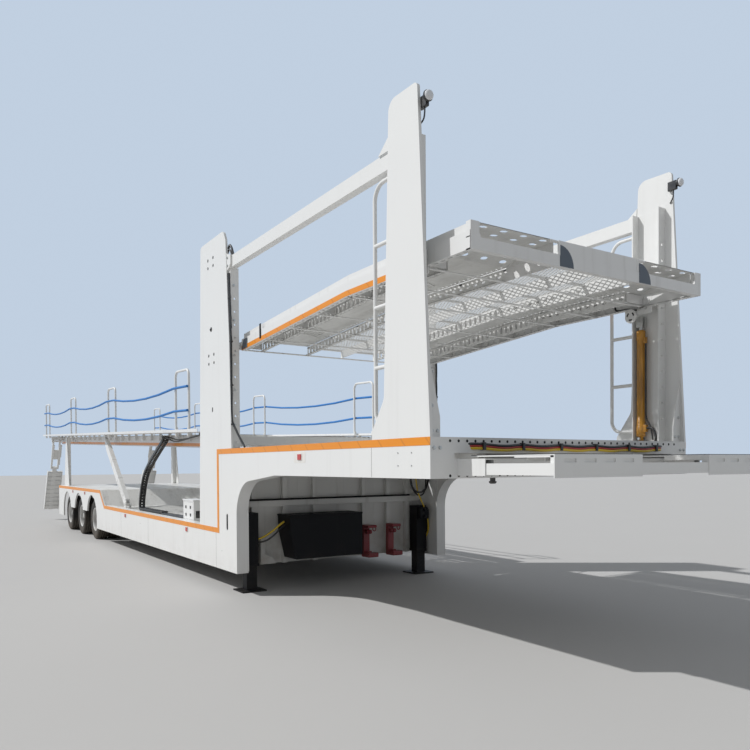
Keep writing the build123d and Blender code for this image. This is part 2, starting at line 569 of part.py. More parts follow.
beam_low, beam_high, beam_face, beam_wall, beam_flange = -250, -70, frame_in - 240, 12, 70
beam_rear = -13300
cross_pitch, cross_length, cross_span = 1008, 60, (-200, beam_high - beam_wall)
rear_frame = []
for low, high, inner in ((beam_low, beam_high, beam_face - beam_wall),
                         (beam_low, beam_low + beam_wall, beam_face - beam_flange),
                         (beam_high - beam_wall, beam_high, beam_face - beam_flange)):
    rear_frame += twin(sloped((beam_rear, rear_deck_front), (inner, beam_face), low, high))
beam_in = beam_face - beam_wall
for n in range(13):
    x = rear_deck_front - n * cross_pitch
    if x - cross_length > beam_rear:
        rear_frame.append(sloped((x - cross_length, x), (-beam_in, beam_in), *cross_span))
end_x = (rear_deck_rear, rear_deck_rear + 80)
rear_frame.append(sloped(end_x, (-post_y, post_y), -150, -50))
rear_frame += twin(sloped((end_x[1], beam_rear), (beam_in, beam_face), -150, beam_high))
arm_y = (column_in - 25, column_in - 5)
arm_x = (-1345, -1305)
rear_frame += twin(side_plate([
    (arm_x[0], pivot_z - 50, 0), (arm_x[0], pivot_z + 30, 0), (pivot_x, pivot_z + 60, 0),
    (pivot_x + 60, pivot_z + 60, 40), (pivot_x + 60, pivot_z - 60, 40), (pivot_x, pivot_z - 60, 0)], arm_y))
rear_frame += twin(cross_bar(pivot_x, pivot_z, (arm_y[1], skin_in - 5), pin_radius))
rear_frame += twin(block(arm_x, (beam_face, arm_y[1]), (pivot_z - 50, pivot_z + 30)))

# Brackets under the walkway: over the struts, over the rear posts, at the cable chain and at the ramps
head_gap, head_pin, ear_drop = 5, 12, 40
ear_in = 12 + head_gap
head = [block((strut_head[0] - 60, strut_head[0] + 60), (beam_face, strut_y + ear_in + ear_thick),
              (strut_head[1] + 66, strut_head[1] + 86))]
for y in (strut_y - ear_in - ear_thick, strut_y + ear_in):
    head.append(block((strut_head[0] - 40, strut_head[0] + 40), (y, y + ear_thick),
                      (strut_head[1] - ear_drop, strut_head[1] + 66)))
head.append(cross_bar(*strut_head, (strut_y - ear_in - ear_thick, strut_y + ear_in + ear_thick), head_pin))
rear_frame += twin(fuse(head))
rear_frame += twin(block(post_column, (beam_face, post_y + 40), (post_top + fit_gap, post_top + 30)))
chain_y, chain_width, chain_thick = -beam_face - 130, 100, 60
chain_top = (-3470, 1940)
rear_frame.append(block((chain_top[0] - 60, chain_top[0] + 60), (chain_y - chain_width / 2, -beam_face),
                        (chain_top[1], chain_top[1] + 12)))
hinge_x, hinge_z, hinge_pin = -13000, 2150, 20
ramp_y = (beam_face + 80, beam_face + 280)
ramp_hanger = [block((hinge_x - 40, hinge_x + 40), (beam_face, ramp_y[1] + 20), (hinge_z + 70, hinge_z + 85)),
               cross_bar(hinge_x, hinge_z, (ramp_y[0] - 20, ramp_y[1] + 20), hinge_pin)]
for y in (ramp_y[0] - 20, ramp_y[1] + 5):
    ramp_hanger.append(block((hinge_x - 40, hinge_x + 40), (y, y + 15), (hinge_z - 35, hinge_z + 70)))
rear_frame += twin(fuse(ramp_hanger))
keep("rear_platform_frame", fuse(rear_frame))

walk_in, rim_depth, rim_thick, walk_plate, bracket_pitch = beam_face, 36, 6, 4, 500
walk_x = (rear_deck_rear, walk_front)
walkway = [sloped(walk_x, (half_width - rim_thick, half_width), -rim_depth, 0),
           sloped(walk_x, (walk_in, half_width), -rim_depth - walk_plate, -rim_depth)]
for n in range(25):
    x = walk_front - 300 - n * bracket_pitch
    walkway.append(sloped((x - 8, x), (beam_face, beam_face + 45), -150, -rim_depth - walk_plate))
keep("rear_platform_walkways", twin(fuse(walkway)))

# The wheel tracks are cut as a plain grid of openings
rear_track_in, grid_columns, grid_rows, grid_strip = 450, 12, 3, 30
rear_track = sloped((end_x[1], rear_deck_front), (rear_track_in, beam_face), beam_high, beam_high + 6)
grid_pitch = ((rear_deck_front - end_x[1]) / grid_columns, (beam_face - rear_track_in) / grid_rows)
cut_z = (rim_front_z - 200, rim_front_z + 600)
for column_n in range(grid_columns):
    for row_n in range(grid_rows):
        x, y = end_x[1] + column_n * grid_pitch[0], rear_track_in + row_n * grid_pitch[1]
        rear_track -= block((x + 2 * grid_strip, x + grid_pitch[0] - 2 * grid_strip),
                            (y + grid_strip, y + grid_pitch[1] - grid_strip), cut_z)
keep("rear_platform_tracks", twin(rear_track))
keep("rear_platform_tape", twin(sloped((beam_rear + 100, rear_deck_front - 160),
                                       (beam_face, beam_face + tape_thick), -232, -186)))

# Handrail posts with guard ropes tied to their outer side
post_width, hand_height, hand_radius, hand_bend = 560, 800, 17, 90
hand_y = half_width - 40
hand_centres = [-2000, -6050, -9740, -13300]
hand_posts = []
for x in hand_centres:
    foot = hand_radius * tan_slope + 0.1 - rim_depth
    ahead, behind = x + post_width / 2, x - post_width / 2
    rows = [(ahead, foot), (ahead, hand_height), (behind, hand_height), (behind, foot)]     # x and height
    hand_posts.append(pipe([(at, hand_y, rear_z(at) + height) for at, height in rows],
                           hand_radius, [hand_bend, hand_bend]))
keep("handrail_posts", twin(fuse(hand_posts)))

rope_radius, rope_heights, rope_sag, rope_bend = 17, (250, 570), 75, 400
rope_y = hand_y + hand_radius + rope_radius
ropes = []
for height in rope_heights:
    points = []
    for n, x in enumerate(hand_centres):
        for leg in (x + post_width / 2 + (30 if n == 0 else 0), x - post_width / 2 - (30 if n == 3 else 0)):
            points.append((leg, rope_y, rear_z(leg) + height))
        if n < 3:
            start, span = x - post_width / 2, hand_centres[n] - hand_centres[n + 1] - post_width
            for share in (0.2, 0.4, 0.6, 0.8):
                at = start - span * share
                points.append((at, rope_y, rear_z(at) + height - rope_sag * 4 * share * (1 - share)))
    ropes.append(pipe(points, rope_radius, [rope_bend] * (len(points) - 2)))
keep("guard_ropes", [side for rope in ropes for side in twin(rope)])

# Cable chain from the low deck up to the rear platform
chain_floor = deck_rib_top + chain_thick / 2
chain_rows = [(-3600, chain_floor, 0), (-4880, chain_floor, 90), (-4500, 1425, 900), (chain_top[0], 1868, 60),
              (*chain_top, 0)]      # x, z and bend radius
chain_path = FilletPolyline(*[(x, chain_y, z) for x, z, _ in chain_rows],
                            radius=[radius for *_, radius in chain_rows[1:-1]])
chain = sweep(Plane(origin=chain_path @ 0, x_dir=(0, 1, 0), z_dir=chain_path % 0)
              * Rectangle(chain_width, chain_thick), path=chain_path)
keep("cable_chain", chain)

# Telescopic struts that lift the rear platform: the sleeve on the low deck, the rod to the platform
strut_length = math.dist(strut_foot, strut_head)
strut_angle = math.degrees(math.atan2(strut_head[1] - strut_foot[1], strut_head[0] - strut_foot[0]))


def on_strut(x, width, height):
    """A bar centred on the strut's line, drawn along +X from the foot pin."""
    return block(x, (strut_y - width / 2, strut_y + width / 2), (-height / 2, height / 2))


def place_strut(shape):
    """Turns a shape drawn along +X from the foot pin onto the strut."""
    return Pos(strut_foot[0], 0, strut_foot[1]) * Rot(0, -strut_angle, 0) * shape


sleeve_end, rod_back, sleeve_start, rod_gap, eye_plate = 250, 1400, 60, 0.5, 10
inner_width, inner_height = strut_width - 2 * strut_wall, strut_height - 2 * strut_wall
sleeve_shape = on_strut((sleeve_start, strut_length - sleeve_end), strut_width, strut_height)
sleeve_shape -= on_strut((sleeve_start + 10, strut_length), inner_width, inner_height)
for y in (strut_y - strut_width / 2, strut_y + strut_width / 2 - eye_plate):
    sleeve_shape += cross_bar(0, 0, (y, y + eye_plate), 45)
    sleeve_shape += block((0, sleeve_start), (y, y + eye_plate), (-45, 45))
sleeve_shape -= cross_bar(0, 0, (strut_y - strut_width, strut_y + strut_width), strut_pin + fit_gap)
rod_end, eye_radius, eye_hole, eye_half = 75, 50, 30, 12
rod_shape = on_strut((strut_length - rod_back, strut_length - rod_end), inner_width - 2 * rod_gap,
                     inner_height - 2 * rod_gap)
rod_shape += cross_bar(strut_length, 0, (strut_y - eye_half, strut_y + eye_half), eye_radius)
rod_shape += on_strut((strut_length - rod_end, strut_length), 2 * eye_half, 2 * eye_radius)
rod_shape -= cross_bar(strut_length, 0, (strut_y - strut_width, strut_y + strut_width), eye_hole)
for node, shape in (("strut_sleeve", sleeve_shape), ("strut_rod", rod_shape)):
    left, right = twin(place_strut(shape))
    keep(node + "_left", left)
    keep(node + "_right", right)

# Loading ramps that hang from the rear platform: a link and a board on a knee
knee, tip = (-13400, 1450), (-14200, 300)
ramp_half, knee_pin, knee_gap = 30, 18, 5


def bar_between(start, end, y, half, back, ahead):
    """A flat bar in the XZ plane from start to end, run on by back and ahead."""
    length = math.dist(start, end)
    angle = math.degrees(math.atan2(end[1] - start[1], end[0] - start[0]))
    return Pos(start[0], 0, start[1]) * Rot(0, -angle, 0) * block((-back, length + ahead), y, (-half, half))


link_arms = [(ramp_y[0], ramp_y[0] + 40), (ramp_y[1] - 40, ramp_y[1])]
link_parts = [bar_between((hinge_x, hinge_z), knee, y, ramp_half, 30, 30) for y in link_arms]
stay = ((hinge_x - 130, hinge_z - 227), (hinge_x - 270, hinge_z - 472))      # plate that joins the two arms
link_parts.append(bar_between(*stay, ramp_y, 12, 0, 0))
link = fuse(link_parts) - cross_bar(hinge_x, hinge_z, (beam_face, half_width), hinge_pin + fit_gap)
link -= cross_bar(*knee, (beam_face, half_width), knee_pin + fit_gap)
board_y, board_cheek = (ramp_y[0] - 110, ramp_y[1] + 65), 12
board_in = (ramp_y[0] + 45, ramp_y[1] - 45)
board_parts = [bar_between(knee, tip, board_in, ramp_half, 25, 0),
               cross_bar(*knee, ramp_y, knee_pin)]
board_start = (knee[0] + (tip[0] - knee[0]) * 0.09, knee[1] + (tip[1] - knee[1]) * 0.09)
board_parts.append(bar_between(board_start, tip, board_y, ramp_half - 12, 0, 0))
for y in (board_y[0], board_y[1] - board_cheek):
    board_parts.append(bar_between(board_start, tip, (y, y + board_cheek), ramp_half + 20, 0, 0))
board = fuse(board_parts)
for node, shape in (("ramp_link", link), ("ramp_board", board)):
    left, right = twin(shape)
    keep(node + "_left", left)
    keep(node + "_right", right)

# Filing: the origin is put at the middle of the whole length, on the ground
every = [solid for solids in parts.values() for solid in solids]
low_x = min(solid.bounding_box().min.X for solid in every)
high_x = max(solid.bounding_box().max.X for solid in every)
mid_x = (low_x + high_x) / 2
for name, solids in parts.items():
    export_step(Pos(-mid_x, 0, 0) * Compound(solids), f"parts/{name}.step")
print("origin shift", round(-mid_x, 3), "length", round(high_x - low_x, 1), "nodes", len(parts))
print("strut length", round(strut_length, 2), "angle", round(strut_angle, 4))
print("carrier z", round(carrier_z, 2))
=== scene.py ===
import math

import bmesh
import bpy
from mathutils import Matrix, Vector


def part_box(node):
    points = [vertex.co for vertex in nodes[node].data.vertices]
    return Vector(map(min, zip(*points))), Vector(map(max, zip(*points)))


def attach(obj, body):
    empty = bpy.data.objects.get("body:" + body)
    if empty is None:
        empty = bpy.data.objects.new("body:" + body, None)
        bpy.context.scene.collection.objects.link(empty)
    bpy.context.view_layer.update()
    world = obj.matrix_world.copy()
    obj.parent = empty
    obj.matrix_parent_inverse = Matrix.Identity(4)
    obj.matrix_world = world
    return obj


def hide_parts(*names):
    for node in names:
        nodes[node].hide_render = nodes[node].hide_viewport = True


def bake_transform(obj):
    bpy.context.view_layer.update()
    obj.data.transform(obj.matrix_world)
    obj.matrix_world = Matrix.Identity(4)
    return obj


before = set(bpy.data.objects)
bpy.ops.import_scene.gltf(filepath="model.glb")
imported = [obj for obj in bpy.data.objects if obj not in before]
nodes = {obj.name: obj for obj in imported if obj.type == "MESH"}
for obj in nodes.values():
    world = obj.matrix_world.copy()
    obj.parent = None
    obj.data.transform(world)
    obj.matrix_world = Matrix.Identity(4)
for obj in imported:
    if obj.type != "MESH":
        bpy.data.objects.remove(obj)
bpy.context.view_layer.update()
print("frame loaded:", len(nodes), "nodes")

# The drawing's x = 0, the front face of the drop, lies 0.6 m ahead of the low side frames
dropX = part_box("side_frames_low")[1].x + 0.6


# Shader maths: a wrapped socket whose operators add Math nodes
class Wire:
    def __init__(self, shader, socket):
        self.shader, self.socket = shader, socket

    def math(self, operation, *values):
        return self.shader.node("ShaderNodeMath", {"operation": operation}, dict(enumerate(values)))

    def __add__(self, other):
        return self.math("ADD", self, other)

    def __radd__(self, other):
        return self.math("ADD", other, self)

    def __sub__(self, other):
        return self.math("SUBTRACT", self, other)

    def __rsub__(self, other):
        return self.math("SUBTRACT", other, self)

    def __mul__(self, other):
        return self.math("MULTIPLY", self, other)

    def __rmul__(self, other):
        return self.math("MULTIPLY", other, self)

    def __truediv__(self, other):
        return self.math("DIVIDE", self, other)

    def fraction(self):
        return self.math("FRACT", self)

    def size(self):
        return self.math("ABSOLUTE", self)

    def band(self, low, high):        # 0 below low, 1 above high, smooth between
        return self.shader.node("ShaderNodeMapRange", {"interpolation_type": "SMOOTHSTEP"},
                                {"Value": self, "From Min": low, "From Max": high})


class Shader:
    def __init__(self, name):
        self.material = bpy.data.materials.new(name)
        self.material.use_nodes = True
        self.tree = self.material.node_tree
        self.tree.nodes.clear()
        self.place = self.node("ShaderNodeTexCoord", out="Object")
        self.axes = {}

    def node(self, kind, settings=None, values=None, out=0):
        made = self.tree.nodes.new(kind)
        for key, value in (settings or {}).items():
            setattr(made, key, value)
        for key, value in (values or {}).items():
            if isinstance(value, Wire):
                self.tree.links.new(value.socket, made.inputs[key])
            else:
                made.inputs[key].default_value = value
        return Wire(self, made.outputs[out]) if made.outputs else None

    def axis(self, letter):
        if not self.axes:
            split = self.node("ShaderNodeSeparateXYZ", values={0: self.place}).socket.node
            self.axes = {name: Wire(self, split.outputs[name]) for name in "XYZ"}
        return self.axes[letter]

    def noise(self, scale, detail=3.0, stretch=(1, 1, 1), rough=0.5):
        spot = self.node("ShaderNodeMapping", values={"Vector": self.place, "Scale": stretch})
        return self.node("ShaderNodeTexNoise", {"noise_dimensions": "3D"},
                         {"Vector": spot, "Scale": scale, "Detail": detail, "Roughness": rough})

    def mix(self, factor, first, second):
        pick = [value if isinstance(value, Wire) else (*value, 1) for value in (first, second)]
        return self.node("ShaderNodeMix", {"data_type": "RGBA"}, {0: factor, 6: pick[0], 7: pick[1]}, out=2)

    def bump(self, height, strength=0.3, distance=0.002):
        values = {"Height": height, "Strength": strength, "Distance": distance}
        return self.node("ShaderNodeBump", values=values)

    def finish(self, colour, rough, metallic=0.0, normal=None, coat=0.0, specular=0.5):
        values = {"Base Color": colour if isinstance(colour, Wire) else (*colour, 1), "Roughness": rough,
                  "Metallic": metallic, "Coat Weight": coat, "Specular IOR Level": specular}
        if normal:
            values["Normal"] = normal
        surface = self.node("ShaderNodeBsdfPrincipled", values=values)
        self.node("ShaderNodeOutputMaterial", values={"Surface": surface})
        return self.material


# Painted steel: faint patches, streaks that run down, and road dust near the ground
def paint(name, colour, dust=(0.36, 0.31, 0.25), dustTop=0.75, dustAmount=0.5, streak=0.1, rough=0.34,
          coat=0.15, specular=0.5):
    s = Shader(name)
    patches = s.noise(1.7, 4.0).band(0.35, 0.7)
    streaks = s.noise(9.0, 3.0, (1, 1, 0.07)).band(0.56, 0.78)
    grime = s.noise(5.0, 6.0, rough=0.65)
    low = 1 - s.axis("Z").band(0.1, dustTop)
    dirt = low * grime.band(0.3, 0.72) * dustAmount
    shade = s.mix(patches * 0.06, colour, tuple(c * 0.8 for c in colour))
    shade = s.mix(streaks * streak, shade, tuple(c * 0.62 for c in dust))
    shade = s.mix(dirt, shade, dust)
    peel = s.noise(160.0, 2.0)
    return s.finish(shade, rough + dirt * 0.4 + grime * 0.08, normal=s.bump(peel, 0.08, 0.001), coat=coat,
                    specular=specular)


# Deck paint: trodden and driven on, with scuffs across the deck and dust in every hollow
def deckPaint(name, colour, scuff=(0.33, 0.31, 0.28), amount=0.45):
    s = Shader(name)
    marks = s.noise(3.2, 6.0, (0.5, 1.6, 1), 0.7).band(0.45, 0.72)
    fine = s.noise(38.0, 4.0, (1, 0.4, 1), 0.6).band(0.5, 0.75)
    worn = marks * amount + fine * 0.18
    shade = s.mix(worn, colour, scuff)
    grain = s.noise(90.0, 3.0)
    return s.finish(shade, 0.42 + worn * 0.35, normal=s.bump(grain, 0.15, 0.0015))


def bareSteel(name, colour, rough=0.4, metallic=0.85, rust=0.0):
    s = Shader(name)
    cloud = s.noise(22.0, 5.0, rough=0.6)
    spots = s.noise(7.0, 6.0, rough=0.7).band(0.52, 0.7) * rust
    shade = s.mix(cloud * 0.35, colour, tuple(c * 0.6 for c in colour))
    shade = s.mix(spots, shade, (0.2, 0.09, 0.04))
    return s.finish(shade, rough + cloud * 0.15, metallic * (1 - spots), s.bump(cloud, 0.12, 0.001))


# Tape: small darker ticks printed along it, seen on the orange tape of the frames
def tape(name, colour):
    s = Shader(name)
    along = (s.axis("X") + s.axis("Z")) / 0.31
    tick = 1 - (along.fraction() - 0.5).size().band(0.02, 0.05)
    weave = s.noise(260.0, 1.0)
    fade = s.noise(2.4, 3.0).band(0.3, 0.8)
    shade = s.mix(fade * 0.18, colour, (0.7, 0.19, 0.012))
    shade = s.mix(tick * 0.35, shade, (0.42, 0.14, 0.02))
    return s.finish(shade, 0.35, normal=s.bump(weave, 0.2, 0.0005), coat=0.1)


def plastic(name, colour, rough=0.35, coat=0.2, dust=0.15):
    s = Shader(name)
    film = s.noise(14.0, 4.0).band(0.4, 0.8) * dust
    shade = s.mix(film, colour, (0.36, 0.32, 0.27))
    return s.finish(shade, rough + film * 0.4, normal=s.bump(s.noise(300.0, 1.0), 0.05, 0.0005), coat=coat)


def tyreRubber(name):
    s = Shader(name)
    dust = s.noise(6.0, 6.0, rough=0.7).band(0.35, 0.75)
    low = 1 - s.axis("Z").band(0.02, 0.35)
    mask = dust * 0.35 + low * 0.25
    shade = s.mix(mask, (0.022, 0.021, 0.02), (0.2, 0.165, 0.13))
    return s.finish(shade, 0.68 + mask * 0.25, normal=s.bump(s.noise(120.0, 3.0), 0.25, 0.001), specular=0.3)


# Cylinder paint: amber, with grease and soot down its length
def greasyPaint(name, colour):
    s = Shader(name)
    runs = s.noise(11.0, 5.0, (1, 1, 0.22), 0.6).band(0.42, 0.68)
    shade = s.mix(runs * 0.6, colour, (0.16, 0.07, 0.015))
    return s.finish(shade, 0.28 + runs * 0.3, normal=s.bump(s.noise(60.0, 3.0), 0.12, 0.001), coat=0.3)


def lens(name, colour):
    s = Shader(name)
    ribs = (s.axis("Z") / 0.006).fraction().band(0.2, 0.8)
    return s.finish(s.mix(ribs * 0.25, colour, tuple(c * 0.5 for c in colour)), 0.12,
                    normal=s.bump(ribs, 0.3, 0.0006), coat=0.6)


white = paint("whitePaint", (0.78, 0.78, 0.765), dustTop=0.6, dustAmount=0.22, streak=0.05)
platformWhite = paint("platformWhite", (0.77, 0.77, 0.76), dustAmount=0.0, streak=0.16)
# A darker copy of the white paint for the drop wall, its beam and bracket, and the chassis rails: painted
# shade where these lie in shadow, with heavier dust and streaks as well.
shadedWhite = paint("shadedWhitePaint", (0.66, 0.655, 0.63), dustTop=1.1, dustAmount=0.65, streak=0.3)
deckWhite = deckPaint("deckWhite", (0.74, 0.735, 0.71))
trackWhite = deckPaint("trackWhite", (0.76, 0.76, 0.745), amount=0.25)
# Black paint for the legs, tool chest, leg gear, pads and bands, set darker than black paint is: partly the
# paint's own black, partly painted shade of the deep shadow at the drop.
blackPaint = paint("blackPaint", (0.006, 0.006, 0.007), dustTop=0.6, dustAmount=0.06, streak=0.05, rough=0.5,
                   coat=0.0, specular=0.2)
chassisPaint = paint("chassisPaint", (0.1, 0.1, 0.1), dustTop=1.2, dustAmount=0.6, streak=0.3, rough=0.5)
redPaint = paint("redPaint", (0.24, 0.01, 0.016), dustTop=0.9, dustAmount=0.15, streak=0.1)
rimPaint = paint("rimPaint", (0.6, 0.6, 0.59), dustTop=0.9, dustAmount=0.55, rough=0.4)
orangeTape = tape("orangeTape", (0.8, 0.275, 0.008))
amberPaint = greasyPaint("amberPaint", (0.62, 0.29, 0.03))
zinc = bareSteel("zincSteel", (0.62, 0.62, 0.6), 0.35)
darkSteel = bareSteel("darkSteel", (0.14, 0.135, 0.13), 0.5, 0.6, rust=0.5)
rodSteel = bareSteel("rodSteel", (0.8, 0.8, 0.8), 0.12, 1.0)
rubber = tyreRubber("tyreRubber")
chainPlastic = plastic("chainPlastic", (0.018, 0.018, 0.019), 0.4)
ropeBlue = plastic("ropeBlue", (0.004, 0.165, 0.5), 0.5, coat=0.05, dust=0.05)
lampBlack = plastic("lampBlack", (0.02, 0.02, 0.022), 0.3)
lampGlass = lens("lampGlass", (0.74, 0.75, 0.77))
redLens = lens("redLens", (0.55, 0.03, 0.02))
amberLens = lens("amberLens", (0.8, 0.22, 0.02))
labelWhite = plastic("labelWhite", (0.78, 0.76, 0.72), 0.4)
# Dark bluish slate: the cover plates at the front platform's rear end, and painted shade on the curved
# patches at the ends of the front beam.
slateAndShadePaint = paint("slateAndShadePaint", (0.075, 0.09, 0.11), dustAmount=0.0)
seamGrey = paint("seamGrey", (0.22, 0.21, 0.2), dustAmount=0.2)
hoseBlack = plastic("hoseBlack", (0.014, 0.014, 0.015), 0.45, dust=0.1)
hoseYellow = plastic("hoseYellow", (0.72, 0.5, 0.02), 0.4, dust=0.1)
hoseRed = plastic("hoseRed", (0.42, 0.02, 0.02), 0.4, dust=0.1)
# Near-black for holes and slots: painted shade, thin dark discs and boxes where a hole shows its shaded
# inside.
holeShadeBlack = plastic("holeShadeBlack", (0.006, 0.006, 0.007), 0.8, coat=0.0, dust=0.02)
print("materials made")

finishes = (
    (white, ("side_frames_gooseneck", "side_frames_low", "side_frames_fender", "front_towers", "rear_towers",
             "top_rails", "gooseneck_frame", "front_extension", "ladders", "rear_posts", "strut_sleeve_left",
             "strut_sleeve_right", "strut_rod_left", "strut_rod_right", "ramp_link_left", "ramp_link_right",
             "ramp_board_left", "ramp_board_right", "handrail_posts", "control_cabinet", "underrun_bar")),
    (platformWhite, ("front_platform_frame", "rear_platform_frame", "rear_platform_walkways",
                     "rear_lift_carriers")),
    (shadedWhite, ("drop_wall", "chassis_rails")), (deckWhite, ("low_deck", "raised_deck", "gooseneck_deck")),
    (chassisPaint, ("coupler_plate", "axles", "suspension")), (blackPaint, ("support_legs", "tool_chest")),
    (redPaint, ("wheel_chock_brackets",)), (ropeBlue, ("guard_ropes",)), (chainPlastic, ("cable_chain",)),
    (orangeTape, ("marking_tape", "front_platform_tape", "rear_platform_tape")))
for finish, names in finishes:
    for name in names:
        nodes[name].data.materials.clear()
        nodes[name].data.materials.append(finish)


bothSides, asGiven = (1, -1), (1,)


# Mesh helpers. A point is (x, y, z) in the drawing's frame; place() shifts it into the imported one.
def place(point):
    return Vector((point[0] + dropX, point[1], point[2]))


# A range of y on one side of the trailer, low value first
def span(side, inner, outer):
    return sorted((side * inner, side * outer))


def linked(name, data):
    made = bpy.data.objects.new(name, data)
    bpy.context.scene.collection.objects.link(made)
    return made


def meshFrom(name, bm, materials=()):
    mesh = bpy.data.meshes.new(name)
    bm.to_mesh(mesh)
    bm.free()
    for material in materials:
        mesh.materials.append(material)
    return mesh


# The finished mesh of a curve or of an object with a modifier, which is then removed
def realMesh(source):
    mesh = bpy.data.meshes.new_from_object(source.evaluated_get(bpy.context.evaluated_depsgraph_get()))
    bpy.data.objects.remove(source)
    return mesh


def newCell(name, bm):
    return linked(name, meshFrom(name, bm))


def newPiece(name, bm, material, smooth=False):
    bmesh.ops.recalc_face_normals(bm, faces=bm.faces)
    mesh = meshFrom(name, bm, [material])
    for polygon in mesh.polygons:
        polygon.use_smooth = smooth
    return linked(name, mesh)


def addBlock(bm, centre, size):
    made = bmesh.ops.create_cube(bm, size=1.0)["verts"]
    for vert in made:
        vert.co = vert.co * Vector(size) + Vector(centre)
    return made


def addBox(bm, x, y, z, edge=0.0):
    centre = Vector(((x[0] + x[1]) / 2, (y[0] + y[1]) / 2, (z[0] + z[1]) / 2))
    made = addBlock(bm, place(centre), (x[1] - x[0], y[1] - y[0], z[1] - z[0]))
    if edge:
        edges = {e for v in made for e in v.link_edges}
        bmesh.ops.bevel(bm, geom=list(edges), offset=edge, segments=2, affect="EDGES", profile=0.5)


# Boxes from rows of x, y and z ranges and an edge radius, on the given sides
def addBoxes(bm, rows, onSides=bothSides):
    for side in onSides:
        for x, y, z, edge in rows:
            addBox(bm, x, span(side, *y), z, edge)


# A turned shape: profile rows are (distance along the axis, radius), from one end to the other
def addTurned(bm, profile, start, direction, segments, closed=False):
    turn = Vector(direction).normalized().to_track_quat("Z", "Y").to_matrix()
    rings = []
    for along, radius in profile:
        angles = [2 * math.pi * n / segments for n in range(segments)] if radius > 1e-6 else [0]
        rings.append([bm.verts.new(start + turn @ Vector((radius * math.cos(a), radius * math.sin(a), along)))
                      for a in angles])
    pairs = list(zip(rings, rings[1:]))
    if closed:
        pairs.append((rings[-1], rings[0]))
    for first, second in pairs:
        for n in range(segments):
            m = (n + 1) % segments
            if len(first) == 1:
                bm.faces.new((first[0], second[n], second[m]))
            elif len(second) == 1:
                bm.faces.new((first[n], second[0], first[m]))
            else:
                bm.faces.new((first[n], second[n], second[m], first[m]))
    if not closed:
        for ring in (rings[0], rings[-1]):
            if len(ring) > 1:
                bm.faces.new(ring)


def addRod(bm, start, end, radius, segments):
    start, end = place(start), place(end)
    addTurned(bm, [(0, radius), ((end - start).length, radius)], start, end - start, segments)


# Rods from rows of two points, a radius and a number of segments, on the given sides
def addRods(bm, rows, onSides=bothSides):
    for side in onSides:
        for start, end, radius, segments in rows:
            addRod(bm, *((x, side * y, z) for x, y, z in (start, end)), radius, segments)


# Points along part of an ellipse
def arcRow(centre, radii, start, turn, steps):
    angles = [start + turn * n / steps for n in range(steps + 1)]
    return [(centre[0] + radii[0] * math.cos(a), centre[1] + radii[1] * math.sin(a)) for a in angles]


# A plate between two outlines with the same number of points
def addPrism(bm, low, high):
    low, high = ([bm.verts.new(place(point)) for point in ring] for ring in (low, high))
    bm.faces.new(low)
    bm.faces.new(high[::-1])
    for n in range(len(low)):
        m = (n + 1) % len(low)
        bm.faces.new((low[n], high[n], high[m], low[m]))


def addSidePlate(bm, rows, y):                # rows of x and z
    addPrism(bm, *([(x, at, z) for x, z in rows] for at in y))


def addCrossPlate(bm, rows, x):               # rows of y and z
    addPrism(bm, *([(at, y, z) for y, z in rows] for at in x))


# A bar of rectangular section from one point to another; side is the way that its width runs
def addBar(bm, start, end, width, depth, side=(0, 1, 0)):
    start, end = place(start), place(end)
    along = (end - start).normalized()
    across = (Vector(side) - along * along.dot(Vector(side))).normalized()
    lift = along.cross(across)
    ring = [bm.verts.new(point + across * a * width / 2 + lift * b * depth / 2)
            for point in (start, end) for a, b in ((1, 1), (-1, 1), (-1, -1), (1, -1))]
    bm.faces.new(ring[:4])
    bm.faces.new(ring[:3:-1])
    for n in range(4):
        m = (n + 1) % 4
        bm.faces.new((ring[n], ring[n + 4], ring[m + 4], ring[m]))


# A plate cell with a rounded slot through it, from -half to +half, its faces at z = 0 and z = -depth
def slotCell(name, width, height, slotWidth, slotHeight, depth, arc=3):
    bm = bmesh.new()
    radius = min(slotWidth, slotHeight) / 2
    longWay = max(slotWidth, slotHeight) / 2 - radius
    hole = []
    for end in (1, -1):
        for n in range(arc + 1):
            angle = math.pi * n / arc - math.pi / 2
            x, y = end * (longWay + radius * math.cos(angle)), end * radius * math.sin(angle)
            hole.append((x, y) if slotWidth >= slotHeight else (-y, x))
    border = []
    for x, y in hole:
        ratios = [half / abs(at) if abs(at) > 1e-9 else 1e9 for half, at in ((width / 2, x), (height / 2, y))]
        scale = min(ratios)
        border.append((x * scale, y * scale))
    corners = [(sx * width / 2, sy * height / 2) for sx, sy in ((1, 1), (-1, 1), (-1, -1), (1, -1))]
    count, levels = len(hole), []
    for z in (0, -depth):
        inner = [bm.verts.new((x, y, z)) for x, y in hole]
        outer = [bm.verts.new((x, y, z)) for x, y in border]
        angles = [math.atan2(v.co.y, v.co.x) for v in outer]
        for n in range(count):
            m = (n + 1) % count
            between = []
            for x, y in corners:
                turn = (math.atan2(y, x) - angles[n]) % (2 * math.pi)
                if 1e-6 < turn < (angles[m] - angles[n]) % (2 * math.pi) - 1e-6:
                    between.append(bm.verts.new((x, y, z)))
            loop = [inner[n], outer[n], *between, outer[m], inner[m]]
            bm.faces.new(loop if z == 0 else loop[::-1])
        levels.append(inner)
    for n in range(count):
        m = (n + 1) % count
        bm.faces.new((levels[0][n], levels[0][m], levels[1][m], levels[1][n]))
    return newCell(name, bm)


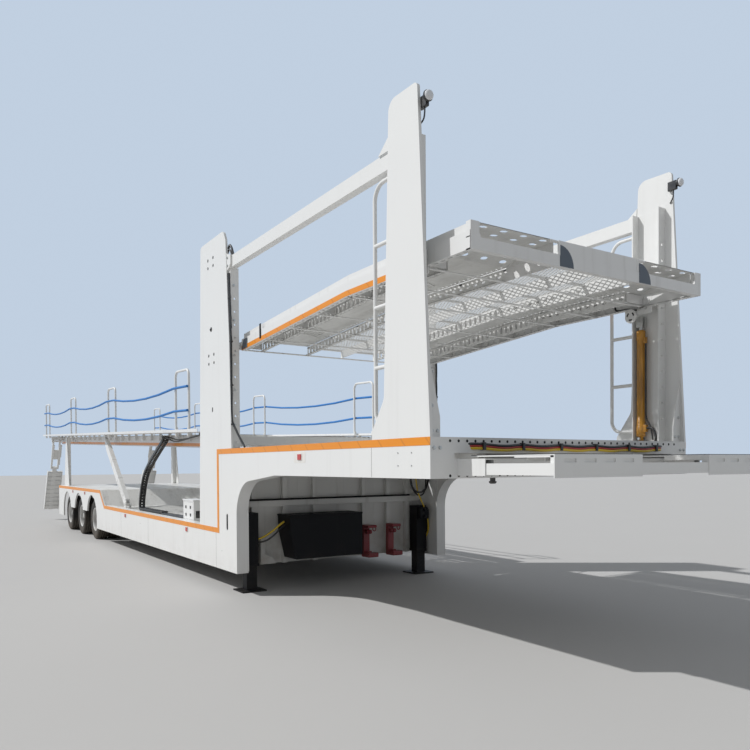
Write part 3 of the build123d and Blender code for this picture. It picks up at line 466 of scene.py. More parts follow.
# Geometry Nodes: one tree repeats a cell on a grid, the other puts a part on every point of a mesh
def newTree(name, inputs):
    tree = bpy.data.node_groups.new(name, "GeometryNodeTree")
    sockets = {}
    for label, kind in inputs:
        socket = tree.interface.new_socket(label, in_out="INPUT", socket_type="NodeSocket" + kind)
        sockets[label] = socket.identifier
    tree.interface.new_socket("Geometry", in_out="OUTPUT", socket_type="NodeSocketGeometry")
    return tree, sockets, tree.nodes.new("NodeGroupInput").outputs, tree.nodes.new("NodeGroupOutput").inputs


def treeNode(tree, kind, links=None, **settings):
    made = tree.nodes.new(kind)
    for key, value in settings.items():
        setattr(made, key, value)
    for key, value in (links or {}).items():
        if isinstance(value, bpy.types.NodeSocket):
            tree.links.new(value, made.inputs[key])
        else:
            made.inputs[key].default_value = value
    return made.outputs


def endTree(tree, points, given, result, rotation=None):
    part = treeNode(tree, "GeometryNodeObjectInfo", {"Object": given["Part"]})["Geometry"]
    links = {"Points": points, "Instance": part}
    if rotation:
        links["Rotation"] = rotation
    placed = treeNode(tree, "GeometryNodeInstanceOnPoints", links)[0]
    real = treeNode(tree, "GeometryNodeRealizeInstances", {"Geometry": placed})[0]
    coloured = treeNode(tree, "GeometryNodeSetMaterial", {"Geometry": real, "Material": given["Material"]})[0]
    tree.links.new(coloured, result[0])


gridTree, gridSockets, gridIn, gridOut = newTree("cellGrid", [
    ("Geometry", "Geometry"), ("Part", "Object"), ("Columns", "Int"), ("Rows", "Int"),
    ("Column Pitch", "Float"), ("Row Pitch", "Float"), ("Material", "Material")])
spans = []
for count, pitch in (("Columns", "Column Pitch"), ("Rows", "Row Pitch")):
    gaps = treeNode(gridTree, "ShaderNodeMath", {0: gridIn[count], 1: 1.0}, operation="SUBTRACT")[0]
    spans.append(treeNode(gridTree, "ShaderNodeMath", {0: gaps, 1: gridIn[pitch]}, operation="MULTIPLY")[0])
gridMesh = treeNode(gridTree, "GeometryNodeMeshGrid", {
    "Size X": spans[0], "Size Y": spans[1],
    "Vertices X": gridIn["Columns"], "Vertices Y": gridIn["Rows"]})["Mesh"]
endTree(gridTree, gridMesh, gridIn, gridOut)

pointTree, pointSockets, pointIn, pointOut = newTree("partOnPoints", [
    ("Geometry", "Geometry"), ("Part", "Object"), ("Material", "Material")])
turns = treeNode(pointTree, "GeometryNodeInputNamedAttribute", {"Name": "turn"}, data_type="FLOAT_VECTOR")[0]
turns = treeNode(pointTree, "FunctionNodeEulerToRotation", {0: turns})[0]
endTree(pointTree, pointIn["Geometry"], pointIn, pointOut, turns)


def runTree(name, points, turns, tree, sockets, values):
    mesh = bpy.data.meshes.new(name)
    mesh.from_pydata([tuple(point) for point in points], [], [])
    if points:
        for item, turn in zip(mesh.attributes.new("turn", "FLOAT_VECTOR", "POINT").data, turns):
            item.vector = turn
    base = linked(name + "Base", mesh)
    modifier = base.modifiers.new("repeat", "NODES")
    modifier.node_group = tree
    for label, value in values.items():
        modifier[sockets[label]] = value
    return linked(name, realMesh(base))


# A grid of one cell, moved by a matrix; the last call that uses a cell removes it
def cellGrid(name, cell, columns, rows, pitch, material, matrix, last=True):
    made = runTree(name, (), (), gridTree, gridSockets,
                   {"Part": cell, "Columns": columns, "Rows": rows, "Column Pitch": pitch[0],
                    "Row Pitch": pitch[1], "Material": material})
    made.data.transform(matrix)
    if last:
        bpy.data.objects.remove(cell)
    return made


def partsAt(name, part, points, turns, material):
    made = runTree(name, points, turns, pointTree, pointSockets, {"Part": part, "Material": material})
    bpy.data.objects.remove(part)
    return made


def joined(name, pieces):
    bm, materials = bmesh.new(), []
    for piece in pieces:
        before = len(bm.faces)
        bm.from_mesh(piece.data)
        bm.faces.ensure_lookup_table()
        for face in bm.faces[before:]:
            material = piece.data.materials[min(face.material_index, len(piece.data.materials) - 1)]
            if material not in materials:
                materials.append(material)
            face.material_index = materials.index(material)
        bpy.data.objects.remove(piece)
    return linked(name, meshFrom(name, bm, materials))


def dress(piece, body, slot, *replaced):
    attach(piece, body)
    if replaced:
        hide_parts(*replaced)


# Slot names by material; addPiece() dresses a piece of one material and passes its slot name on
slotOf = {white: "white_paint", platformWhite: "white_paint", shadedWhite: "white_paint",
          seamGrey: "white_paint", labelWhite: "white_paint", blackPaint: "black_paint",
          redPaint: "red_paint", holeShadeBlack: "dark_paint", lampBlack: "dark_paint",
          hoseBlack: "cable_plastic", rodSteel: "rim_paint"}


def addPiece(name, bm, material, body="chassis", *replaced, smooth=False):
    dress(newPiece(name, bm, material, smooth), body, slotOf[material], *replaced)


def smoothCurve(name, points, order, steps):
    curve = bpy.data.curves.new(name, "CURVE")
    curve.dimensions = "3D"
    spline = curve.splines.new("NURBS")
    spline.points.add(len(points) - 1)
    for point, spot in zip(spline.points, points):
        point.co = (*place(spot), 1)
    spline.order_u, spline.use_endpoint_u = order, True
    curve.resolution_u = steps
    return curve


def bentTube(name, points, radius, material, order=3):
    curve = smoothCurve(name, points, order, 6)
    curve.bevel_depth, curve.bevel_resolution, curve.use_fill_caps = radius, 3, True
    mesh = realMesh(linked(name, curve))
    mesh.materials.clear()
    mesh.materials.append(material)
    for polygon in mesh.polygons:
        polygon.use_smooth = True
    return linked(name, mesh)


# Hoses from rows of name, radius, material and points, on the given sides
def tubes(rows, onSides=bothSides):
    return [bentTube(name, [(x, side * y, z) for x, y, z in points], radius, material)
            for side in onSides for name, radius, material, points in rows]


# A fastener that stands on z = 0, from rows of a turned profile and a number of segments
def fastener(name, rows, size=1.0):
    bm = bmesh.new()
    for profile, segments in rows:
        sized = [(along * size, radius * size) for along, radius in profile]
        addTurned(bm, sized, Vector(), (0, 0, 1), segments)
    return newCell(name, bm)


bolt = ((((0, 0.015), (0.002, 0.015)), 16), (((0.002, 0.012), (0.01, 0.012)), 6),
        (((0.01, 0.006), (0.014, 0.005)), 8))


# Bolts on both sides, placed by Geometry Nodes at rows of a point and the way that it faces
def boltsAt(name, rows, material, size=1.0):
    rows = [((x, side * y, z), (a, side * b, c)) for side in bothSides for (x, y, z), (a, b, c) in rows]
    points = [place(point) for point, _ in rows]
    turns = [Vector(facing).to_track_quat("Z", "Y").to_euler() for _, facing in rows]
    return partsAt(name, fastener("hexBolt", bolt, size), points, turns, material)


# Wheels: tyres with four grooves, rims with a dished disc, hand holes, hub, drum and nuts.
# A profile's rows are y and radius; y goes from the tyre's middle, or from the disc's face for its own parts.
wheel = {
    "tyreHalf": 0.1175, "tyreRadius": 0.3985, "faceY": 1.45, "gap": 0.025, "axlesX": (-7.7, -9.04, -10.38),
    "grooves": (-0.066, -0.023, 0.023, 0.066), "grooveHalf": 0.005, "grooveDepth": 0.012, "crownDrop": 0.05,
    "shoulder": ((-0.094, 0.226), (-0.102, 0.238), (-0.108, 0.262), (-0.114, 0.285), (-0.1175, 0.305),
                 (-0.1168, 0.318), (-0.1175, 0.322), (-0.1168, 0.345), (-0.113, 0.366), (-0.105, 0.385),
                 (-0.094, 0.3935)),
    "rim": ((0.102, 0.237), (0.104, 0.233), (0.1, 0.224), (0.085, 0.218), (0.05, 0.214), (-0.094, 0.212),
            (-0.1, 0.23), (-0.103, 0.236), (-0.098, 0.2385), (-0.09, 0.227), (-0.06, 0.222),
            (0.09, 0.226)),
    "discY": 1.214, "discEdge": ((0.022, 0.213), (0.006, 0.205), (0, 0.192), (-0.01, 0.192), (-0.004, 0.207),
                                 (0.012, 0.215)),
    "hub": ((-0.01, 0.13), (0, 0.13), (0.004, 0.126), (0.004, 0.086), (0.05, 0.08), (0.14, 0.076),
            (0.172, 0.074), (0.18, 0.064), (0.184, 0.058), (0.184, 0)),
    "drum": ((-0.214, 0.1), (-0.214, 0.19), (-0.199, 0.196), (-0.03, 0.196), (-0.022, 0.186),
             (-0.022, 0.1)),
    "handHoles": 10, "holeRing": (0.128, 0.194), "holeShare": 0.42, "holeHeight": 0.03, "discPlate": 0.01,
    "nuts": 10, "nutCircle": 0.1125, "nutY": 0.004,
    "nut": ((((-0.004, 0.019), (0.002, 0.019)), 12), (((0.002, 0.0165), (0.024, 0.0165)), 6),
            (((0.024, 0.01), (0.038, 0.01), (0.04, 0.008)), 10))}


def tyreProfile():
    rows, half = list(wheel["shoulder"]), wheel["grooveHalf"]
    for y in wheel["grooves"]:
        top = wheel["tyreRadius"] - wheel["crownDrop"] * abs(y)
        foot = top - wheel["grooveDepth"]
        rows += [(y - half, top), (y - half * 0.6, foot), (y + half * 0.6, foot), (y + half, top)]
    return rows + [(-y, radius) for y, radius in reversed(wheel["shoulder"])]


def buildWheel(row, side, x):
    sign = 1 if side == "left" else -1
    centre, outward = place((x, 0, wheel["tyreRadius"])), (0, sign, 0)
    discY = wheel["discY"]
    middles = (wheel["faceY"] - wheel["tyreHalf"], wheel["faceY"] - 3 * wheel["tyreHalf"] - wheel["gap"])

    def turned(bm, profile, middle, segments, closed=False):
        addTurned(bm, [(middle + y, radius) for y, radius in profile], centre, outward, segments, closed)

    def onDisc(angle, radius, out):
        return centre + Vector((radius * math.cos(angle), sign * (discY + out), radius * math.sin(angle)))

    bm = bmesh.new()
    for middle in middles:
        turned(bm, tyreProfile(), middle, 72, True)
    tyres = newPiece(f"tyres_{row}_{side}_treaded", bm, rubber, smooth=True)
    dress(tyres, f"wheels_{row}_{side}", "tyre", f"tyres_{row}_{side}")

    bm = bmesh.new()
    for middle in middles:
        turned(bm, wheel["rim"], middle, 64, True)
    turned(bm, wheel["discEdge"], discY, 64, True)
    turned(bm, wheel["hub"], discY, 48)
    turned(bm, wheel["drum"], discY, 48)
    rim = newPiece("rimPlain", bm, rimPaint, smooth=True)

    # The disc's ring of hand holes: a slotted cell bent round the hub
    count, (ringIn, ringOut) = wheel["handHoles"], wheel["holeRing"]
    width = 2 * math.pi / count
    cell = slotCell("handHole", width, ringOut - ringIn, width * wheel["holeShare"], wheel["holeHeight"],
                    wheel["discPlate"], arc=5)
    bm = bmesh.new()
    bm.from_mesh(cell.data)
    bpy.data.objects.remove(cell)
    bmesh.ops.subdivide_edges(bm, edges=[e for e in bm.edges if e.calc_length() > 0.09], cuts=2)
    source = meshFrom("handHole", bm)
    bm = bmesh.new()
    for n in range(count):
        before = len(bm.verts)
        bm.from_mesh(source)
        bm.verts.ensure_lookup_table()
        for vert in bm.verts[before:]:
            vert.co = onDisc(vert.co.x + n * width, (ringIn + ringOut) / 2 + vert.co.y, vert.co.z)
    bmesh.ops.remove_doubles(bm, verts=bm.verts, dist=0.00005)
    disc = newPiece("rimDisc", bm, rimPaint)

    angles = [2 * math.pi * n / wheel["nuts"] for n in range(wheel["nuts"])]
    spots = [onDisc(angle, wheel["nutCircle"], wheel["nutY"]) for angle in angles]
    spins = [Vector(outward).to_track_quat("Z", "Y").to_euler()] * wheel["nuts"]
    nuts = partsAt("nuts", fastener("wheelNut", wheel["nut"]), spots, spins, zinc)
    rims = joined(f"rims_{row}_{side}_detailed", [rim, disc, nuts])
    for polygon in rims.data.polygons:
        polygon.use_smooth = polygon.material_index == 0
    dress(rims, f"wheels_{row}_{side}", "rim_paint", f"rims_{row}_{side}")


for rowName, axleX in zip(("front", "middle", "rear"), wheel["axlesX"]):
    for sideName in ("left", "right"):
        buildWheel(rowName, sideName, axleX)
print("wheels made")


# A flat sheet of cells from (x0, z0) to (x1, z1) in side view, between two values of y
def sheetPlace(x, z, y):
    run = math.hypot(x[1] - x[0], z[1] - z[0])
    middle = place(((x[0] + x[1]) / 2, (y[0] + y[1]) / 2, (z[0] + z[1]) / 2))
    turn = Matrix.Rotation(-math.atan2(z[1] - z[0], x[1] - x[0]), 4, "Y")
    return run, abs(y[1] - y[0]), Matrix.Translation(middle) @ turn


# How many cells fit along and across, and the pitch at which they fill the sheet
def fitCells(run, width, cell):
    columns, rows = max(1, round(run / cell[0])), max(1, round(width / cell[1]))
    return columns, rows, (run / columns, width / rows)


def slottedSheet(name, x, z, y, cell, slot, depth, material):
    run, width, matrix = sheetPlace(x, z, y)
    columns, rows, pitch = fitCells(run, width, cell)
    part = slotCell(name + "Cell", *pitch, *slot, depth)
    return cellGrid(name, part, columns, rows, pitch, material, matrix)


# A row of slots in an upright web between two points in side view
def slottedWeb(name, x, z, y, height, pitch, slot, depth, material):
    run, _, matrix = sheetPlace(x, z, (y, y))
    columns, rows, cell = fitCells(run, height, (pitch, height))
    part = slotCell(name + "Cell", *cell, *slot, depth)
    upright = matrix @ Matrix.Rotation(math.pi / 2, 4, "X")
    return cellGrid(name, part, columns, rows, cell, material, upright)


# Corners in side view between two heights over the line from (x0, z0) to (x1, z1)
def strip(x, z, low, high):
    return [(x[0], z[0] + low), (x[1], z[1] + low), (x[1], z[1] + high), (x[0], z[0] + high)]


# Front platform: level ahead of its bend, falling to the rear; its tracks rise at the front end.
# Heights are over the underside of the rails; boxes and rods count x from the front face.
upper = {
    "front": 3.854, "bend": 2.17, "rear": -0.2, "base": 2.963, "drop": 0.152, "half": 1.336, "plate": 0.005,
    "trackTop": 0.124, "trackIn": 0.472, "trackOut": 1.298, "rampFoot": 3.294, "rampHead": 3.524,
    "noseEnd": 3.84, "noseTop": 0.197, "noseOut": 1.264,
    "noseCell": (0.115, 0.198), "noseSlot": (0.046, 0.07),
    "edge": 0.07, "edgeOut": 0.06, "edgeCell": (0.06, 0.065), "edgeSlot": (0.032, 0.02),
    "webs": (0.476, 1.068), "webEnd": 3.26, "webMiddle": 0.06, "webHeight": 0.104, "webPlate": 0.006,
    "webRows": ((0.1, (0.046, 0.022)), (0.078, (0.036, 0.076))),
    "lip": 0.036, "lipDrop": 0.046, "lipCell": (0.078, 0.036), "lipSlot": (0.042, 0.014),
    "cheeks": ((0.472, 0.477), (1.258, 1.263)),
    "cheek": ((3.294, 0.108), (3.802, 0.108), (3.802, 0.192), (3.524, 0.192), (3.294, 0.119)),
    "louvres": (0.3, 2.24), "louvreCount": 6, "louvrePitch": 0.055,
    "louvreRun": 0.11, "louvreY": (0.62, 0.86),
    "meshEnd": 3.802, "meshHalf": 0.464, "meshTop": 0.114, "meshCell": (0.07, 0.036), "strand": 0.0055,
    "crossX": (-0.2, 0.38, 0.95, 1.52, 2.17, 2.7, 3.26),
    "crossBars": (((-1.328, 1.328), 0.001, 0.006, 0.028), ((-1.328, 1.328), 0.006, 0.016, 0.006),
                  ((-0.476, 0.476), 0.092, 0.108, 0.03), ((1.078, 1.328), 0.03, 0.112, 0.008),
                  ((-1.328, -1.078), 0.03, 0.112, 0.008)),
    "railPlates": ((0, 0.13, (1.328, 1.336)), (0.124, 0.13, (1.306, 1.328)),
                   (0.13, 0.197, (1.3, 1.306))),
    "cornerPosts": (((-0.008, 0), (1.266, 1.336), (0.09, 0.197)),
                    ((-0.05, -0.008), (1.33, 1.336), (0.13, 0.197)),
                    ((-0.05, -0.008), (1.266, 1.272), (0.09, 0.197))),
    "frontBeam": (((-0.008, 0), (-1.336, 1.336), (0, 0.09)), ((-0.05, -0.008), (-1.336, 1.336), (0, 0.007)),
                  ((-0.05, -0.008), (-1.336, 1.336), (0.083, 0.09)),
                  ((-0.012, -0.004), (-0.468, 0.468), (0.09, 0.197)),
                  ((-0.052, -0.012), (-0.468, 0.468), (0.19, 0.197))),
    "keel": (0.009, 0.107), "keelEnd": 3.78, "cover": (1.336, 1.342),
    "coverPlate": ((-0.195, 0.012), (-0.03, 0.012), (-0.03, 0.118), (-0.13, 0.118)),
    "band": ((0.315, 0.03), (0.35, 0.03), (0.35, 0.192), (0.315, 0.192)),
    "rods": (((-0.006, 0.462, 0.085), (-0.006, 0.462, 0.196), 0.01, 10),
             ((-0.008, 1.262, 0.095), (-0.008, 1.262, 0.196), 0.01, 10),
             ((-0.01, 1.262, 0.098), (0, 1.262, 0.098), 0.018, 12),
             ((-0.552, 1.318, 0.065), (-0.552, 1.336, 0.065), 0.034, 20)),
    "flangeCell": (0.085, 0.06), "flangeSlot": (0.052, 0.02), "railSlot": (0.044, 0.022)}


def upperZ(x):
    return upper["base"] - max(0, upper["bend"] - x) * upper["drop"] / (upper["bend"] - upper["rear"])


# Runs of a strip that follows the bend at one height over the underside
def upperRuns(front, height):
    bend, rear = upper["bend"], upper["rear"]
    return [((bend, front), (upperZ(bend) + height, upperZ(bend) + height)),
            ((rear, bend), (upperZ(rear) + height, upperZ(bend) + height))]


# One diamond of the expanded mesh: four strands, each shared with the neighbours
def diamondCell(width, height, strand, depth):
    bm = bmesh.new()
    for sx, sy in ((1, 1), (-1, -1), (-1, 1), (1, -1)):
        start, end = Vector((sx * width / 2, 0, 0)), Vector((0, sy * height / 2, 0))
        along = (end - start).normalized()
        across = Vector((-along.y, along.x, 0)) * strand / 2
        corners = ((across, 0), (across, -depth), (-across, -depth), (-across, 0))
        ring = [bm.verts.new(point + offset + Vector((0, 0, z)))
                for point in (start, end) for offset, z in corners]
        for a, b in ((0, 1), (1, 2), (2, 3), (3, 0)):
            bm.faces.new((ring[a], ring[b], ring[b + 4], ring[a + 4]))
    bmesh.ops.recalc_face_normals(bm, faces=bm.faces)
    return newCell("diamond", bm)


# Tracks: plain plates with rows of small holes along their edges, on webs with a row of tall slots
def buildFrontTracks():
    tracks, meshes, bm = [], [], bmesh.new()
    top, base, webs, edge = (upper[key] for key in ("trackTop", "base", "webs", "edge"))
    inner, outer, foot, head = (upper[key] for key in ("trackIn", "trackOut", "rampFoot", "rampHead"))

    def sheet(name, x, z, y, kind):
        cell, slot = upper[kind + "Cell"], upper[kind + "Slot"]
        tracks.append(slottedSheet(name, x, z, y, cell, slot, upper["plate"], trackWhite))

    for x, z in upperRuns(foot, top):
        for side in bothSides:
            for y in ((inner + edge, webs[1] - edge), (webs[1] + upper["edgeOut"], outer)):
                addSidePlate(bm, strip(x, z, -upper["plate"], 0), span(side, *y))
            for y in ((inner, inner + edge), (webs[1] - edge, webs[1] + upper["edgeOut"])):
                sheet("trackEdge", x, z, span(side, *y), "edge")
    high = base + upper["noseTop"]
    for x, z in (((foot, head), (base + top, high)), ((head, upper["noseEnd"]), (high, high))):
        for side in bothSides:
            sheet("trackNose", x, z, span(side, inner, upper["noseOut"]), "nose")
    for (x, z), (pitch, slot) in zip(upperRuns(upper["webEnd"], upper["webMiddle"]), upper["webRows"]):
        for y in (*webs, *(-y for y in webs)):
            tracks.append(slottedWeb("trackWeb", x, z, y, upper["webHeight"], pitch, slot, upper["webPlate"],
                                     trackWhite))
            lip = sorted((y, y + math.copysign(upper["lip"], y)))
            sheet("webFoot", x, [height - upper["lipDrop"] for height in z], lip, "lip")
    for start in upper["louvres"]:                  # pressed louvres across the plain part of the plates
        for n in range(upper["louvreCount"]):
            x = start + n * upper["louvrePitch"]
            ends = zip((x, x + upper["louvreRun"]), upper["louvreY"])
            ends = [(end, y, upperZ(end) + top - 0.009) for end, y in ends]
            for side in bothSides:
                addBar(bm, *((end, side * y, z) for end, y, z in ends), 0.008, 0.02, (0, 0, 1))
    for side in bothSides:                          # cheeks under the raised front end
        for y in upper["cheeks"]:
            addSidePlate(bm, [(x, base + z) for x, z in upper["cheek"]], span(side, *y))
    tracks.append(newPiece("trackPlates", bm, trackWhite))
    dress(joined("front_platform_slotted_tracks", tracks), "front_platform", "deck_white",
          "front_platform_tracks")
    for x, z in upperRuns(upper["meshEnd"], upper["meshTop"]):
        run, width, matrix = sheetPlace(x, z, (-upper["meshHalf"], upper["meshHalf"]))
        columns, rows, pitch = fitCells(run, width, upper["meshCell"])
        cell = diamondCell(*pitch, upper["strand"], upper["plate"])
        meshes.append(cellGrid("mesh", cell, columns, rows, pitch, trackWhite, matrix))
    dress(joined("front_platform_expanded_mesh", meshes), "front_platform", "deck_white",
          "front_platform_mesh")


# Frame of the front platform: rails with a slotted lower flange, thin bars across, the front beam
def buildFrontFrame():
    bm, gussets, bands = bmesh.new(), bmesh.new(), bmesh.new()
    half, base, front = upper["half"], upper["base"], upper["front"]
    for side in bothSides:
        for low, high, y in upper["railPlates"]:
            for x, z in upperRuns(front - 0.002, 0):
                addSidePlate(bm, strip(x, z, low, high), span(side, *y))
        addSidePlate(bm, strip((upper["webEnd"], upper["keelEnd"]), (base, base), *upper["keel"]),
                     span(side, 0.47, 0.476))
    for rows, onSides in ((upper["cornerPosts"], bothSides), (upper["frontBeam"], asGiven)):
        addBoxes(bm, [([front + a for a in x], y, [base + a for a in z], 0) for x, y, z in rows], onSides)
    for x in upper["crossX"]:            # flat bars below the webs and light bars under the mesh and plates
        for y, low, high, width in upper["crossBars"]:
            ahead = x + width
            addSidePlate(bm, strip((x, ahead), (upperZ(x), upperZ(ahead)), low, high), y)
    for x, z in upperRuns(upper["keelEnd"], 0):          # keel under the middle of the mesh
        addSidePlate(bm, strip(x, z, *upper["keel"]), (-0.003, 0.003))

    for side in bothSides:
        # Curved slate patches in the beam's front face beside the raised middle plate: painted shade, a dark
        # bluish sheet standing for a shaded recess.
        corner = (side * 0.468 + 0.01, base + 0.004)
        addCrossPlate(gussets, [corner, *arcRow(corner, (0.15, 0.16), 0, math.pi / 2, 8)],
                      (front - 0.001, front + 0.002))
        addRod(bm, *((front - 0.012, y, base + 0.188) for y in span(side, 0.455, 0.56)), 0.009, 10)
        lug = arcRow((-0.33, 2.881), (0.045, 0.044), math.pi / 2, math.pi, 10)
        addSidePlate(bm, [(-0.14, 2.838), (-0.14, 2.925), *lug], span(side, 1.3, 1.316))
        cover = span(side, *upper["cover"])              # plate over the rear end, with a dark band ahead
        addSidePlate(gussets, [(x, upperZ(x) + z) for x, z in upper["coverPlate"]], cover)
        addSidePlate(bands, [(x, upperZ(x) + z) for x, z in upper["band"]], cover)
    addBoxes(bm, [((3.242, 3.363), (1.326, 1.4627), (base + 0.004, base + 0.126), 0.006)])
    addRods(bm, [(*((front + x, y, base + z) for x, y, z in ends), radius, segments)
                 for *ends, radius, segments in upper["rods"]])
    parts = [newPiece("frameSteel", bm, platformWhite)]
    for x, z in upperRuns(front - 0.05, 0.008):
        for y in ((half - 0.06, half - 0.008), (-half + 0.008, -half + 0.06)):
            parts.append(slottedSheet("flange", x, z, y, upper["flangeCell"], upper["flangeSlot"], 0.007,
                                      platformWhite))
    for x, z in upperRuns(3.3, 0.045):
        for y in (half - 0.016, 0.01 - half):
            parts.append(slottedWeb("railWeb", x, z, y, 0.07, 0.102, upper["railSlot"], upper["webPlate"],
                                    platformWhite))
    parts += [newPiece("gussets", gussets, slateAndShadePaint), newPiece("bands", bands, blackPaint)]
    dress(joined("front_platform_frame_detailed", parts), "front_platform", "white_paint",
          "front_platform_frame")


buildFrontTracks()
buildFrontFrame()
print("front platform made")


# Rear platform: slotted tracks on the plane that rises to the rear
rear = {"front": -1.2, "back": -13.82, "rimZ": 1.95, "slope": math.radians(1.83), "trackTop": -0.064,
        "trackIn": 0.45, "trackOut": 1.12, "cell": (0.14, 0.134), "slot": (0.045, 0.095), "plate": 0.006,
        "postCentres": (-2.0, -6.05, -9.74, -13.3), "postHalf": 0.263, "socketY": 1.46,
        "socketZ": (-0.095, 0.03), "socketRadius": 0.022, "strutFoot": (-5.67, 0.79),
        "strutHead": (-7.32, 2.015), "strutY": 1.29, "pipeY": 1.334, "pinY": (1.226, 1.354),
        "bands": ((0.34, 0.024), (0.62, 0.01)), "bandSize": (0.081, 0.156), "pipe": (0.1, 0.3)}


def rimZ(x):
    return rear["rimZ"] + (rear["front"] - x) * math.tan(rear["slope"])


def buildRearTracks():
    run = (rear["front"] - rear["back"]) / math.cos(rear["slope"])
    width = rear["trackOut"] - rear["trackIn"]
    columns, rows, pitch = fitCells(run, width, rear["cell"])
    cell = slotCell("rearSlot", *pitch, *rear["slot"], rear["plate"])
    middle = (rear["front"] + rear["back"]) / 2
    turn = Matrix.Rotation(rear["slope"], 4, "Y")
    halves = []
    for side in bothSides:
        centre = place((middle, side * (rear["trackIn"] + width / 2), rimZ(middle) + rear["trackTop"]))
        halves.append(cellGrid("rearTrack", cell, columns, rows, pitch, trackWhite,
                               Matrix.Translation(centre) @ turn, last=side < 0))
    dress(joined("rear_platform_slotted_tracks", halves), "rear_platform", "deck_white",
          "rear_platform_tracks")


buildRearTracks()
print("rear platform made")


# Towers: bolts, dark holes behind the skin, end plates, cables down the rear columns and seams.
# Holes are rows of x, z and radius; the bolts of end plates and columns are given by their height.
tower = {
    "skin": (1.4938, 1.4965), "keyhole": ((-0.7484, -0.7156), (2.1306, 2.1834)),
    "slot": (-0.285, 0.822, 0.024, 0.071),
    "holes": ((-0.755, 3.13, 0.0294), *((x, z, 0.0194) for x in (-0.842, -0.667)
                                         for z in (3.98, 3.885, 2.82, 2.72))),
    "knobAt": (-0.755, 1.4925, 3.13),
    "knob": ((0, 0.014), (0.006, 0.014), (0.008, 0.019), (0.016, 0.019), (0.021, 0.012), (0.022, 0)),
    "endPlate": ((-0.3, 3.7), (-0.165, 3.75), (-0.13, 3.79), (-0.13, 3.885), (-0.21, 3.905),
                 (-0.3, 3.96)), "endPlateY": (1.4745, 1.4945),
    "flaredPlate": ((2.935, 3.881), (3.075, 3.881), (3.082, 3.99)), "flaredPlateY": (1.476, 1.488),
    "plateBolts": (3.775, 3.865), "columnBolts": (1.95, 2.35, 2.75, 3.15, 3.55),
    "footBolts": ((3.601, 1.467, 1.596), (3.601, 1.413, 1.596), (3.556, 1.4, 1.72), (3.556, 1.45, 1.72),
                  (3.556, 1.45, 1.9)),
    "smallBolts": ((3.2, 1.566), (3.374, 1.566), (3.2, 1.47), (3.374, 1.47), (-4.05, 0.56),
                   (-0.46, 0.47)),
    "seams": ((2.83, 1.378, 1.652), (-0.65, 0.252, 0.71), (-3.6, 0.252, 0.708), (-5.3, 0.252, 0.708)),
    "welds": (((2.85, 1.474, 1.677), (3.58, 1.474, 1.677)), ((-0.135, 1.474, 1.677), (-0.44, 1.474, 1.677)),
              ((-0.001, 1.358, 0.27), (-0.001, 1.358, 1.25))),
    "loop": ((-0.262, 1.462, 3.985), (-0.235, 1.462, 4.03), (-0.19, 1.458, 4.0), (-0.15, 1.455, 3.93),
             (-0.14, 1.452, 3.884)),
    "loopEnd": (-0.165, 1.45, 3.884), "cableTop": 3.69, "cableSteps": 16, "clips": (3.4, 2.9, 2.4, 1.95),
    "cableEnd": ((-0.12, 1.47, 1.93), (-0.04, 1.45, 1.82), (0.04, 1.43, 1.72),
                 (0.075, 1.425, 1.688))}


# The rear column's open edge leans to the rear above its waist
def columnLean(z):
    return max(0, z - 2.86) * 0.075


